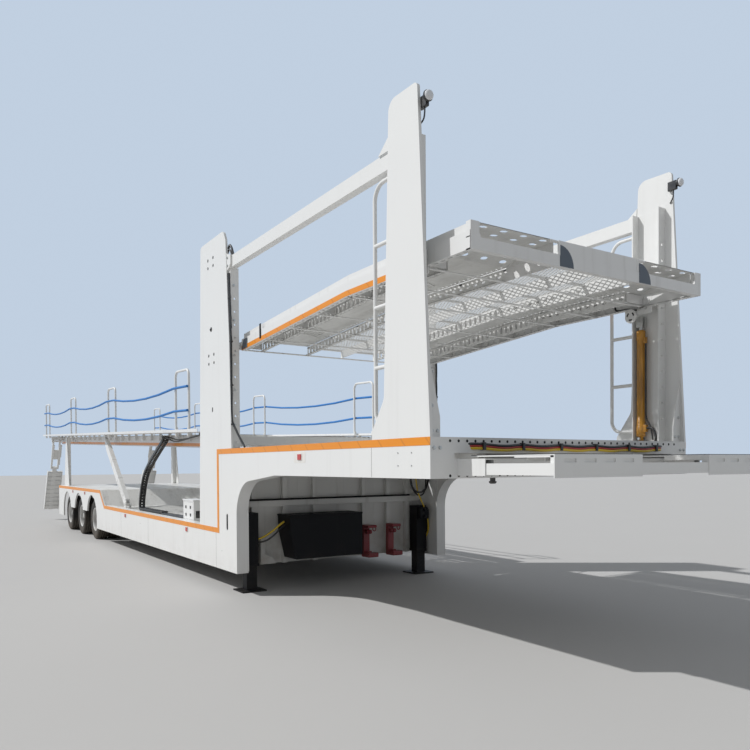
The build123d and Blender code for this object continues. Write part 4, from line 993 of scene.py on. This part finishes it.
def buildTowers():
    holes, steel, plates, seams, welds, clips = (bmesh.new() for _ in range(6))
    skin = tower["skin"]
    x, z, radius, reach = tower["slot"]
    keyX, keyZ = tower["keyhole"]
    # The holes and slots in the skin are thin near-black discs and boxes: painted shade of the tower's
    # inside.
    addBoxes(holes, [(keyX, skin, keyZ, 0), ((x - radius, x + radius), skin, (z - reach, z + reach), 0)])
    addRods(holes, [((x, 1.4935, end), (x, 1.4962, end), radius, 20) for end in (z - reach, z + reach)])
    addRods(holes, [((x, skin[0], z), (x, skin[1], z), radius, 20) for x, z, radius in tower["holes"]])
    for side in bothSides:
        x, y, z = tower["knobAt"]
        addTurned(steel, tower["knob"], place((x, side * y, z)), (0, side, 0), 20)

        # End plate of the top rail at the rear tower and the flared plate at the front one
        for plate in ("endPlate", "flaredPlate"):
            addSidePlate(plates, tower[plate], span(side, *tower[plate + "Y"]))
    bolts = [((-0.215, 1.4945, z), (0, 1, 0)) for z in tower["plateBolts"]]
    bolts += [((-0.175, 1.436, z), (1, 0, 0)) for z in tower["columnBolts"]]
    bolts += [(point, (1, 0, 0)) for point in tower["footBolts"]]
    small = [((x, 1.5, z), (0, 1, 0)) for x, z in tower["smallBolts"]]
    addPiece("tower_end_plates", plates, white)
    addPiece("tower_hole_shadows", holes, holeShadeBlack)
    addPiece("tower_knobs", steel, lampBlack, smooth=True)
    dress(boltsAt("tower_bolts", bolts, zinc), "chassis", "rim_paint")
    dress(boltsAt("frame_bolts", small, zinc, 0.45), "chassis", "rim_paint")

    # Seams between the panels of the side frames, and the weld along each tower's foot
    addBoxes(seams, [((x - 0.0016, x + 0.0016), (1.4995, 1.5008), (low, high), 0)
                     for x, low, high in tower["seams"]])
    addRods(welds, [(*ends, 0.005, 8) for ends in tower["welds"]])
    addPiece("panel_seams", seams, seamGrey)
    addPiece("weld_beads", welds, white, smooth=True)

    # Cables: a loop over the end plate, and two side by side down the rear column
    inner = [(x - 0.02, y, z - 0.045) for x, y, z in tower["loop"][:4]] + [tower["loopEnd"]]
    rows = [("loop", 0.013, hoseBlack, tower["loop"]), ("loop", 0.01, hoseBlack, inner)]
    top, steps = tower["cableTop"], tower["cableSteps"]
    for low, ahead, radius, last in ((1.99, 0.0, 0.013, tower["cableEnd"]), (3.05, 0.022, 0.009, ())):
        run = []
        for n in range(steps + 1):
            z = top + (low - top) * n / steps
            run.append((ahead - 0.156 - columnLean(z) + 0.004 * (n % 2), 1.485 - 0.003 * (n % 3 == 1), z))
        rows.append(("run", radius, hoseBlack, [*run, *last]))
    for z in tower["clips"]:
        edgeX = -0.14 - columnLean(z)
        addBoxes(clips, [((edgeX - 0.036, edgeX), (1.465, 1.499), (z - 0.01, z + 0.01), 0.003)])
    cables = tubes(rows) + [newPiece("clips", clips, hoseBlack)]
    dress(joined("tower_cables", cables), "chassis", "cable_plastic")


# Lamps: work lamps on the front towers, side markers, rear clusters and the blank plates.
# Rows of the bezel and the dome are the distance ahead of their own x, and the radius.
lamp = {
    "z": 4.095, "y": 1.47, "bezelX": 3.548, "domeX": 3.561,
    "neck": ((3.534, 1.47, 4.095), (3.552, 1.47, 4.095)),
    "body": ((3.446, 3.536), (1.442, 1.475), (4.037, 4.123), 0.006),
    "cluster": ((-11.595, -11.57), (0.9, 1.2), (0.45, 0.53), 0.004),
    "blank": ((1.457, 1.693), (1.4995, 1.5012), (1.5, 1.6), 0.0004),
    "markerHalf": (0.045, 0.035), "markerY": (1.5, 1.505),
    "lensHalf": (0.036, 0.027), "lensY": (1.504, 1.512),
    "bezel": ((0, 0.036), (0.004, 0.041), (0.012, 0.041), (0.014, 0.036)),
    "dome": ((0, 0.036), (0.01, 0.0365), (0.02, 0.031), (0.026, 0.02), (0.028, 0)),
    "cable": ((3.5, 1.458, 4.04), (3.502, 1.458, 3.985), (3.48, 1.46, 3.945), (3.455, 1.472, 3.93)),
    "markers": ((-9.683, 0.915), (-8.367, 0.915), (-4.986, 0.632), (-1.739, 0.632), (1.58, 1.555)),
    "tail": (((0.91, 1.0), redLens), ((1.01, 1.09), lampGlass), ((1.1, 1.19), amberLens))}


def buildLamps():
    black, glass, plates, lenses, blank = (bmesh.new() for _ in range(5))
    y, z = lamp["y"], lamp["z"]
    addBoxes(black, [lamp["body"]])
    addRods(black, [(*lamp["neck"], 0.03, 24)])
    for side in bothSides:
        addTurned(black, lamp["bezel"], place((lamp["bezelX"], side * y, z)), (1, 0, 0), 28)
        addTurned(glass, lamp["dome"], place((lamp["domeX"], side * y, z)), (1, 0, 0), 28)
    rows = [("lampCable", 0.006, hoseBlack, lamp["cable"])]
    parts = [newPiece("lampBodies", black, lampBlack), newPiece("lampDomes", glass, lampGlass, smooth=True)]
    dress(joined("tower_lamps_detailed", parts + tubes(rows)), "chassis", "lamp_plastic", "tower_lamps")

    for bm, kind, edge in ((plates, "marker", 0.0015), (lenses, "lens", 0.003)):
        y, (halfX, halfZ) = lamp[kind + "Y"], lamp[kind + "Half"]
        addBoxes(bm, [((x - halfX, x + halfX), y, (z - halfZ, z + halfZ), edge) for x, z in lamp["markers"]])
    addBoxes(plates, [lamp["cluster"]])
    parts = [newPiece("markerPlates", plates, labelWhite), newPiece("markerLenses", lenses, redLens)]
    for y, material in lamp["tail"]:
        bm = bmesh.new()
        addBoxes(bm, [((-11.6, -11.59), y, (0.458, 0.522), 0.004)])
        parts.append(newPiece("tailLens", bm, material))
    dress(joined("marker_lamps_detailed", parts), "chassis", "lamp_plastic", "marker_lamps")
    addBoxes(blank, [lamp["blank"]])
    addPiece("blank_plates", blank, labelWhite)


# Lift cylinders in the front columns, with their foot lugs, collars, rods and yokes.
# Their boxes and hoses count x and y from the cylinder's axis.
lift = {
    "x": 3.172, "y": 1.418, "foot": 1.69,
    "body": ((0, 0.026), (0.045, 0.026), (0.05, 0.042), (0.15, 0.042), (0.152, 0.0385), (0.985, 0.0385),
             (0.988, 0.042), (1.075, 0.042), (1.08, 0.034), (1.085, 0.022)),
    "ports": (((-0.02, 0.07), (-0.018, 0.018), (1.78, 1.85), 0.004),
              ((0.03, 0.063), (-0.016, 0.016), (2.64, 2.7), 0.004)),
    "yoke": (((-0.035, 0.035), (-0.03, -0.018), (2.8, 2.905), 0.004),
             ((-0.035, 0.035), (0.018, 0.03), (2.8, 2.905), 0.004),
             ((-0.05, 0.05), (-0.036, 0.036), (1.675, 1.694), 0.003)),
    "footHose": ((0.07, 0, 1.815), (0.12, 0, 1.83), (0.165, -0.01, 1.77), (0.19, -0.03, 1.7),
                 (0.2, -0.05, 1.69)),
    "riser": ((0.0545, 0, 2.642), (0.0545, 0, 2.3), (0.0545, 0, 2.0), (0.06, 0, 1.9),
              (0.11, 0, 1.84), (0.15, -0.02, 1.7)),
    "arm": ((3.06, 2.969), (3.06, 2.94), (3.14, 2.905), (3.36, 2.905), (3.36, 2.969)),
    "sheaveAt": (3.14, 2.902), "slotRing": 0.036, "shoeBolts": (3.24, 3.31),
    "sheave": ((0, 0.058), (0.004, 0.066), (0.008, 0.058), (0.014, 0.058), (0.018, 0.066), (0.022, 0.058)),
    "shoeCable": ((3.2, 1.315, 2.955), (3.1, 1.312, 2.985), (2.98, 1.312, 2.975), (2.94, 1.316, 3.015),
                  (2.96, 1.32, 3.05))}


def buildCylinders():
    amber, steel = bmesh.new(), bmesh.new()
    x, y = lift["x"], lift["y"]
    for bm, rows in ((amber, lift["ports"]), (steel, lift["yoke"])):
        addBoxes(bm, [([x + a for a in xs], [y + b for b in ys], z, edge) for xs, ys, z, edge in rows])
    addRods(steel, [((x, y, 2.77), (x, y, 2.862), 0.02, 20)])
    for side in bothSides:
        addTurned(amber, lift["body"], place((x, side * y, lift["foot"])), (0, 0, 1), 28)
        for half, z, radius in ((0.036, 2.868, 0.013), (0.04, 1.716, 0.014)):
            addRod(steel, (x, side * y - half, z), (x, side * y + half, z), radius, 16)
    body = newPiece("cylinderBodies", amber, amberPaint)
    for polygon in body.data.polygons:
        polygon.use_smooth = polygon.area > 0.0002 and abs(polygon.normal.z) < 0.5
    dress(joined("lift_cylinders_detailed", [body, newPiece("cylinderSteel", steel, zinc)]), "chassis",
          "amber_paint", "lift_cylinders")
    rows = [(name, radius, hoseBlack, [(x + a, y + b, z) for a, b, z in lift[name]])
            for name, radius in (("footHose", 0.013), ("riser", 0.008))]
    dress(joined("cylinder_hoses", tubes(rows)), "chassis", "cable_plastic")

    # Lift shoes of the platform: bracket arm with two bolts, a sheave with three slots and a cable loop
    arms, dark = bmesh.new(), bmesh.new()
    sheaveX, sheaveZ = lift["sheaveAt"]
    for side in bothSides:
        addSidePlate(arms, lift["arm"], span(side, 1.322, 1.332))
        addTurned(arms, lift["sheave"], place((sheaveX, side * 1.3, sheaveZ)), (0, side, 0), 36)
    # The sheave's three slots are near-black discs: painted shade in the slots.
    for n in range(3):
        ring = arcRow(lift["sheaveAt"], [lift["slotRing"]] * 2, math.radians(30 + 120 * n) - 0.3, 0.6, 2)
        addRods(dark, [((x, 1.2985, z), (x, 1.3005, z), 0.008, 10) for x, z in ring])
    bolts = [((x, 1.298, 2.955), (0, -1, 0)) for x in lift["shoeBolts"]]
    rows = [("loop", 0.009, hoseBlack, lift["shoeCable"])]
    addPiece("platform_shoe_arms", arms, platformWhite, "front_platform")
    addPiece("platform_sheave_slots", dark, holeShadeBlack, "front_platform")
    dress(boltsAt("platform_shoe_bolts", bolts, zinc, 1.2), "front_platform", "rim_paint")
    dress(joined("platform_shoe_cables", tubes(rows)), "front_platform", "cable_plastic")


buildTowers()
buildLamps()
buildCylinders()
print("towers, lamps and cylinders made")


# Drop and gooseneck: chest with a slanted end, wall beam, chock brackets, leg gear, hoses.
# Boxes and rods of a chock bracket count y from its middle.
drop = {
    "chest": ((0.19, 0.352), (0.19, 0.88), (-0.82, 0.88), (-0.815, 0.7), (-0.735, 0.352)),
    "chestX": (-0.36, -0.022), "lid": ((-0.366, -0.02), (-0.826, 0.196), (0.866, 0.884), 0.003),
    "beam": ((-0.42, -0.352), (-1.358, 1.358), (0.975, 1.05), 0.004), "bracketX": (-0.418, -0.33),
    "latches": (-0.52, -0.08), "wallSeams": (-1.1, -0.52, 0.06, 0.62, 1.1), "chocks": (0.43, 0.815),
    "bracket": ((-1.06, 0.285), (-0.86, 0.285), (-0.9, 0.36), (-1.0, 0.4), (-1.02, 0.6), (-1.06, 0.6)),
    "chockBoxes": (((-0.36, -0.3), (-0.045, 0.045), (0.27, 0.69), 0.004),
                   ((-0.3, -0.18), (-0.045, 0.11), (0.27, 0.33), 0.01),
                   ((-0.33, -0.205), (-0.042, 0.1), (0.652, 0.688), 0.01)),
    "chockRods": (((-0.25, -0.04, 0.6), (-0.25, 0.034, 0.6), 0.028, 16),
                  ((-0.33, 0, 0.6), (-0.205, 0, 0.6), 0.016, 12),
                  ((-0.24, 0, 0.33), (-0.24, 0, 0.35), 0.032, 20)),
    "pinHoles": (0.12, 0.17, 0.22, 0.27), "gearBox": ((-0.18, -0.11), (1.17, 1.3), (0.74, 0.9), 0.01),
    "collar": ((-0.346, -0.174), (1.15, 1.32), (0.296, 0.33), 0.004),
    "legRods": (((-0.34, -1.35, 1.062), (-0.34, 1.15, 1.062), 0.011, 14),
                *(((-0.112, 1.235, z), (-0.08, 1.235, z), 0.02, 16) for z in (0.775, 0.865))),
    "hoses": (
        ("yellow", 0.012, hoseYellow, (
            (-0.25, -1.15, 0.6), (-0.25, -1.08, 0.61), (-0.21, -0.96, 0.69), (-0.18, -0.86, 0.78),
            (-0.18, -0.822, 0.8))),
        ("black", 0.01, hoseBlack, (
            (-0.23, -1.15, 0.57), (-0.23, -1.06, 0.56), (-0.19, -0.95, 0.64), (-0.17, -0.86, 0.74),
            (-0.17, -0.816, 0.76))),
        ("loop", 0.014, hoseBlack, (
            (-0.15, 1.02, 1.372), (-0.15, 1.03, 1.24), (-0.14, 1.08, 1.12), (-0.13, 1.19, 1.09),
            (-0.13, 1.29, 1.16), (-0.14, 1.33, 1.28), (-0.15, 1.34, 1.374))),
        ("loop", 0.01, hoseBlack, (
            (-0.22, 1.08, 1.372), (-0.22, 1.09, 1.2), (-0.21, 1.18, 1.05), (-0.21, 1.3, 1.06),
            (-0.22, 1.345, 1.2), (-0.23, 1.35, 1.374))),
        ("orange", 0.01, hoseYellow, (
            (-0.18, 1.14, 1.372), (-0.18, 1.15, 1.15), (-0.17, 1.23, 0.98), (-0.16, 1.32, 0.8),
            (-0.16, 1.345, 0.6), (-0.2, 1.33, 0.48), (-0.3, 1.3, 0.44))))}


def buildDrop():
    chest, beam, bracket, red, gear, holes = (bmesh.new() for _ in range(6))
    addCrossPlate(chest, drop["chest"], drop["chestX"])
    addBox(chest, *drop["lid"])
    for y in drop["latches"]:
        addBox(chest, (-0.024, -0.0205), (y - 0.06, y + 0.06), (0.77, 0.85), 0.0015)
        addRod(chest, (-0.021, y - 0.045, 0.79), (-0.021, y + 0.045, 0.79), 0.0009, 8)
    addPiece("tool_chest_detailed", chest, blackPaint, "chassis", "tool_chest")

    addBox(beam, *drop["beam"])
    for y in drop["wallSeams"]:
        addBox(beam, (-0.4205, -0.418), (y - 0.0015, y + 0.0015), (0.285, 1.37))
    addPiece("wall_beam", beam, shadedWhite)
    addCrossPlate(bracket, drop["bracket"], drop["bracketX"])
    addPiece("wall_step_bracket", bracket, shadedWhite)

    for y in drop["chocks"]:
        addBoxes(red, [(x, [y + b for b in ys], z, edge) for x, ys, z, edge in drop["chockBoxes"]], asGiven)
        addRods(red, [(*((x, y + b, z) for x, b, z in ends), radius, segments)
                      for *ends, radius, segments in drop["chockRods"]], asGiven)
        ring = [(-0.225, b, z) for b, z in arcRow((y + 0.07, 0.64), (0.024, 0.03), 0, 2 * math.pi, 24)]
        for first, second in zip(ring, ring[1:]):
            addRod(red, first, second, 0.007, 8)
    addPiece("wheel_chock_brackets_detailed", red, redPaint, "chassis", "wheel_chock_brackets")

    # Leg gear: a thin pipe along the wall beam's top, a gear box with knobs on the left leg, pin holes
    addRods(gear, drop["legRods"], asGiven)
    addBox(gear, *drop["gearBox"])
    addBoxes(gear, [drop["collar"]])
    # The leg's pin holes are near-black discs: painted shade in the holes.
    addRods(holes, [((-0.1955, 1.235, z), (-0.1935, 1.235, z), 0.01, 12) for z in drop["pinHoles"]])
    addPiece("leg_gear", gear, blackPaint)
    addPiece("leg_pin_holes", holes, holeShadeBlack)
    dress(joined("drop_hoses", tubes(drop["hoses"], asGiven)), "chassis", "cable_plastic")


# Front end: slide pads, edge lips of the pans, hoses clipped along the tie beams.
# The lips start far enough ahead to stay out of the tie beam's slot.
nose = {
    "pad": ((3.68, 4.48), (0.43, 1.19), (1.538, 1.543), 0.001),
    "lips": (((4.15, 4.522), (0.392, 0.398), (1.5, 1.531), 0),
             ((4.15, 4.522), (1.214, 1.22), (1.519, 1.531), 0),
             ((4.2, 4.206), (0.398, 1.155), (1.496, 1.5305), 0),
             ((4.36, 4.366), (0.398, 1.155), (1.496, 1.5305), 0)),
    "holeRows": (1.395, 1.648), "holeCount": 34, "holePitch": 0.08, "firstHole": -1.32,
    "clips": (-1.02, -0.62, -0.2, 0.22, 0.64, 1.02), "waves": 10, "wavePitch": 0.205,
    "hoses": (("yellow", 0.011, hoseYellow, 1.596), ("red", 0.009, hoseRed, 1.612),
              ("black", 0.01, hoseBlack, 1.628))}


def buildFrontEnd():
    lips, pads, holes, clips = (bmesh.new() for _ in range(4))
    addBoxes(pads, [nose["pad"]])
    addBoxes(lips, nose["lips"])
    addPiece("extension_ribs", lips, white, "front_extension")
    addPiece("extension_pads", pads, blackPaint, "front_extension")
    # The tie beam's holes are near-black discs: painted shade in the holes.
    for n in range(nose["holeCount"]):
        y = nose["firstHole"] + nose["holePitch"] * n
        for z in nose["holeRows"]:
            addRod(holes, (3.599, y, z), (3.6006, y, z), 0.011, 10)
    for y in nose["clips"]:
        addBox(clips, (3.598, 3.64), (y - 0.012, y + 0.012), (1.582, 1.64), 0.003)
    addPiece("tie_beam_holes", holes, holeShadeBlack)
    addPiece("hose_clips", clips, hoseBlack)
    rows = []
    for n, (name, radius, material, z) in enumerate(nose["hoses"]):
        run = [(3.56, -1.15 - 0.03 * n, z), (3.61, -1.12, z), (3.616, -1.02, z)]
        for k in range(1, nose["waves"]):
            low = k % 2
            run.append((3.616 + 0.012 * low, -1.02 + nose["wavePitch"] * k, z - 0.018 * low))
        run += [(3.616, 1.02, z), (3.61, 1.12, z), (3.56, 1.15 + 0.02 * n, z)]
        rows.append((name, radius, material, run))
    dress(joined("front_hoses", tubes(rows, asGiven)), "chassis", "cable_plastic")


buildDrop()
buildFrontEnd()
print("drop and front end made")


# Link chain on its route from the low deck up to the rear platform, with its hoses, and the cabinet.
# A link's side plates are (low, high, y), and the hoses count y from the chain's middle.
chain = {
    "y": -1.25, "half": 0.05, "link": 0.052, "thick": 0.029, "leg": -4.2, "legZ": (0.82, 1.86),
    "route": ((-3.6, 0.742), (-4.3, 0.742), (-4.8, 0.742), (-4.87, 0.744), (-4.885, 0.83),
              (-4.8, 1.05), (-4.64, 1.33), (-4.3, 1.52), (-3.85, 1.725), (-3.56, 1.85),
              (-3.475, 1.89), (-3.47, 1.938)),
    "plates": ((-0.03, 0.022, 0.043), (-0.016, 0.034, 0.047)),
    "ends": (((-3.64, -3.56), (-1.3, -1.2), (0.7125, 0.772), 0.004),
             ((-3.505, -3.435), (-1.3, -1.2), (1.9, 1.9395), 0.004)),
    "core": (-0.024, 0.024), "bundle": (-0.032, 0.0, 0.032), "clamps": (-1.95, -1.44)}
cabinet = {
    "white": (((-2.35, -1.9), (-1.35, -1.16), (0.7122, 0.998), 0.008),
              ((-2.356, -1.894), (-1.356, -1.154), (0.992, 1.01), 0.003)),
    "dark": (((-2.325, -1.925), (-1.3508, -1.3496), (0.735, 0.736), 0),
             ((-2.325, -1.925), (-1.3508, -1.3496), (0.975, 0.976), 0),
             ((-2.3256, -2.3244), (-1.3508, -1.3496), (0.735, 0.976), 0),
             ((-1.9256, -1.9244), (-1.3508, -1.3496), (0.735, 0.976), 0),
             ((-1.901, -1.8985), (-1.32, -1.19), (0.76, 0.86), 0.0008)),
    "lockX": (-2.03, -2.22), "lockZ": (0.8, 0.905)}


# Points at even steps along a smooth curve through the given points, with the way it runs at each
def stepsAlong(points, step):
    line = realMesh(linked("route", smoothCurve("route", points, 4, 24)))
    spots = [vert.co.copy() for vert in line.vertices]
    steps, travelled, wanted = [], 0.0, step / 2
    for first, second in zip(spots, spots[1:]):
        length = (second - first).length
        while travelled + length >= wanted and length > 1e-9:
            steps.append((first.lerp(second, (wanted - travelled) / length), (second - first).normalized()))
            wanted += step
        travelled += length
    return steps


def buildChain():
    middle, half, thick = chain["y"], chain["half"], chain["thick"]
    bm, ends, clamps, body, dark = (bmesh.new() for _ in range(5))
    for side in bothSides:
        for low, high, y in chain["plates"]:
            addBlock(bm, (0, side * y, (low + high) / 2), (2 * thick * 0.7, 0.006, high - low))
    for x in (-thick + 0.004, thick - 0.004):
        addBlock(bm, (x, 0, 0), (0.006, 2 * half - 0.01, 0.022))
    points, turns = [], []
    for spot, way in stepsAlong([(x, middle, z) for x, z in chain["route"]], chain["link"]):
        points.append(spot)
        side = Vector((0, 1, 0))
        turns.append(Matrix((side.cross(way), side, way)).transposed().to_euler())
    parts = [partsAt("links", newCell("chainLink", bm), points, turns, chainPlastic)]
    for offset in chain["core"]:
        route = [(x, middle + offset, z) for x, z in chain["route"]]
        parts.append(bentTube("core", route, 0.015, hoseBlack, order=4))
    addBoxes(ends, chain["ends"], asGiven)
    piece = joined("cable_chain_linked", [*parts, newPiece("chainEnds", ends, darkSteel)])
    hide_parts("cable_chain")
    # Ends of the leg that lies on the deck, by height; then the chain's transform is baked into its mesh
    low, high = (place((chain["leg"], middle, z)) for z in chain["legZ"])
    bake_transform(piece)

    rows = []
    for offset in chain["bundle"]:
        y = middle + offset
        rows.append(("bundle", 0.014, hoseBlack, [
            (-3.6, y, 0.735), (-3.3, middle + offset * 1.6, 0.727),
            (-2.9, middle + offset * 2.2 + 0.02, 0.727), (-2.52, y, 0.727), (-2.42, y, 0.76),
            (-2.352, y, 0.8)]))
    dress(joined("deck_hoses", tubes(rows, asGiven)), "chassis", "cable_plastic")
    rows = []
    for n in (-1, 1):
        out = 0.03 * n
        rows.append(("under", 0.01, hoseBlack, [
            (-3.44, middle + 0.02 * n, 1.925), (-3.33, middle + out, 1.915),
            (-3.05, -1.21 + out, 1.845 + 0.015 * n), (-2.5, -1.2 + out, 1.875 + 0.01 * n),
            (-1.9, -1.19 + out, 1.915), (-1.42, -1.18 + out, 1.925)]))
    for x in chain["clamps"]:
        addBox(clamps, (x - 0.014, x + 0.014), (-1.245, -1.125), (1.882, 1.944), 0.003)
    parts = [*tubes(rows, asGiven), newPiece("clamps", clamps, darkSteel)]
    dress(joined("platform_hoses", parts), "rear_platform", "cable_plastic")

    addBoxes(body, cabinet["white"], asGiven)
    addBoxes(dark, cabinet["dark"], asGiven)
    for x in cabinet["lockX"]:
        for z in cabinet["lockZ"]:
            addBox(dark, (x - 0.016, x + 0.016), (-1.358, -1.3495), (z - 0.02, z + 0.02), 0.003)
    parts = [newPiece("cabinet", body, white), newPiece("cabinetDark", dark, lampBlack)]
    dress(joined("control_cabinet_detailed", parts), "chassis", "white_paint", "control_cabinet")


# Rear platform's fittings: post sockets; bands, pipes and foot pins of the struts
def buildRearFittings():
    sockets = bmesh.new()
    y, (low, high), radius = rear["socketY"], rear["socketZ"], rear["socketRadius"]
    for centre in rear["postCentres"]:
        for x in (centre - rear["postHalf"], centre + rear["postHalf"]):
            z = rimZ(x)
            addRods(sockets, [((x, y, z + low), (x, y, z + high), radius, 16)])
            addBoxes(sockets, [((x - 0.03, x + 0.03), (1.455, 1.496), (z - 0.034, z - 0.004), 0.003)])
    addPiece("post_sockets", sockets, white, "rear_platform")
    foot, head = (Vector((x, 0, z)) for x, z in (rear["strutFoot"], rear["strutHead"]))
    for side, name in ((1, "left"), (-1, "right")):
        bands, steel = bmesh.new(), bmesh.new()
        y, pipeY = side * rear["strutY"], side * rear["pipeY"]
        for share, width in rear["bands"]:
            a, b = foot.lerp(head, share), foot.lerp(head, share + width / (head - foot).length)
            addBar(bands, (a.x, y, a.z), (b.x, y, b.z), *rear["bandSize"])
        a, b = (foot.lerp(head, share) for share in rear["pipe"])
        for off in (-0.02, 0.03):
            addBar(steel, (a.x + off, pipeY, a.z + off), (b.x + off, pipeY, b.z + off), 0.01, 0.014)
        addRod(steel, *((foot.x, side * y, foot.z) for y in rear["pinY"]), 0.022, 18)
        addPiece(f"strut_bands_{name}", bands, white, f"strut_sleeve_{name}")
        addPiece(f"strut_pipes_{name}", steel, white, f"strut_sleeve_{name}")


# Loading ramps: ribs and side flanges on the boards, hydraulic cylinders along the links
ramp = {"inner": 1.09, "outer": 1.465, "knee": (-13.4, 1.45), "tip": (-14.2, 0.3), "hinge": (-13.0, 2.15),
        "ribs": 9, "firstRib": 0.16, "ribPitch": 0.14, "cylinder": (0.12, 0.48, 0.72),
        "cylinderY": (-0.09, 0.09)}


def buildRamps():
    inner, outer = ramp["inner"], ramp["outer"]
    knee, tip, hinge = (Vector((x, 0, z)) for x, z in (ramp["knee"], ramp["tip"], ramp["hinge"]))
    along, way = (tip - knee).normalized(), (knee - hinge).normalized()
    out = Vector((along.z, 0, -along.x))
    for side, name in ((1, "left"), (-1, "right")):
        board, link, steel = bmesh.new(), bmesh.new(), bmesh.new()
        for n in range(ramp["ribs"]):
            spot = knee + along * (ramp["firstRib"] + ramp["ribPitch"] * n) - out * 0.034
            ends = ((spot.x, side * y, spot.z) for y in (inner + 0.02, outer - 0.02))
            addBar(board, *ends, 0.02, 0.008, along)
        a, b = knee + along * 0.1 - out * 0.03, knee + along * 1.28 - out * 0.026
        for y in (inner + 0.012, outer - 0.012):
            addBar(board, (a.x, side * y, a.z), (b.x, side * y, b.z), 0.008, 0.04)
        spots = [hinge + way * share for share in ramp["cylinder"]]
        for offset in ramp["cylinderY"]:
            a, b, c = ((spot.x + 0.02, side * (inner + outer) / 2 + offset, spot.z) for spot in spots)
            addRod(link, a, b, 0.028, 18)
            addRod(steel, b, c, 0.014, 14)
        addPiece(f"ramp_board_ribs_{name}", board, white, f"ramp_board_{name}")
        addPiece(f"ramp_cylinders_{name}", link, white, f"ramp_link_{name}")
        addPiece(f"ramp_rods_{name}", steel, rodSteel, f"ramp_link_{name}")


buildChain()
buildRearFittings()
buildRamps()
print("chain, rear fittings and ramps made")


# Stage: floor, camera at the photograph's place, a soft sun from behind the right side and a pale world
camera = {"place": (7.637, -4.588, 1.48), "yaw": 32.991, "pitch": -0.887, "roll": -0.36, "focal": 716.06,
          "centreV": 475.586, "frame": 750}


def buildStage():
    bm = bmesh.new()
    bmesh.ops.create_grid(bm, x_segments=1, y_segments=1, size=120)
    s = Shader("paleFloor")
    cloud = s.noise(0.7, 4.0).band(0.2, 0.9)
    shade = s.mix(cloud * 0.08, (0.5, 0.49, 0.475), (0.42, 0.41, 0.4))
    pale = s.finish(shade, 0.8, normal=s.bump(s.noise(30.0, 4.0), 0.1, 0.004))
    linked("floor", meshFrom("floor", bm, [pale]))

    yaw, pitch, roll = (math.radians(camera[key]) for key in ("yaw", "pitch", "roll"))
    ahead = Vector((-math.cos(yaw), math.sin(yaw), 0))
    right = Vector((math.sin(yaw), math.cos(yaw), 0))
    up = Vector((0, 0, 1))
    forward = ahead * math.cos(pitch) + up * math.sin(pitch)
    raised = up * math.cos(pitch) - ahead * math.sin(pitch)
    rightward = right * math.cos(roll) + raised * math.sin(roll)
    upward = raised * math.cos(roll) - right * math.sin(roll)
    data = bpy.data.cameras.new("camera")
    data.sensor_width = 36
    data.lens = camera["focal"] / camera["frame"] * data.sensor_width
    data.shift_y = (camera["centreV"] - camera["frame"] / 2) / camera["frame"]
    data.clip_end = 400
    seen = linked("camera", data)
    axes = Matrix((rightward, upward, -forward)).transposed().to_4x4()
    seen.matrix_world = Matrix.Translation(place(camera["place"])) @ axes
    bpy.context.scene.camera = seen

    sun = bpy.data.lights.new("sun", "SUN")
    sun.energy, sun.angle = 3.0, math.radians(1.0)
    linked("sun", sun).rotation_euler = Vector((0.42, 0.62, -0.72)).to_track_quat("-Z", "Y").to_euler()

    world = bpy.data.worlds.new("paleWorld")
    bpy.context.scene.world = world
    world.use_nodes = True
    tree = world.node_tree
    tree.nodes.clear()
    rays = treeNode(tree, "ShaderNodeLightPath")
    shown = treeNode(tree, "ShaderNodeMath", {0: rays["Is Camera Ray"], 1: rays["Is Glossy Ray"]},
                     operation="MAXIMUM")[0]
    light = treeNode(tree, "ShaderNodeBackground", {"Color": (0.93, 0.96, 1.0, 1), "Strength": 0.36})[0]
    backdrop = treeNode(tree, "ShaderNodeBackground", {"Color": (0.56, 0.66, 0.79, 1), "Strength": 0.95})[0]
    blend = treeNode(tree, "ShaderNodeMixShader", {0: shown, 1: light, 2: backdrop})[0]
    treeNode(tree, "ShaderNodeOutputWorld", {"Surface": blend})
    bpy.context.scene.view_settings.view_transform = "Standard"


buildStage()
print("stage made")
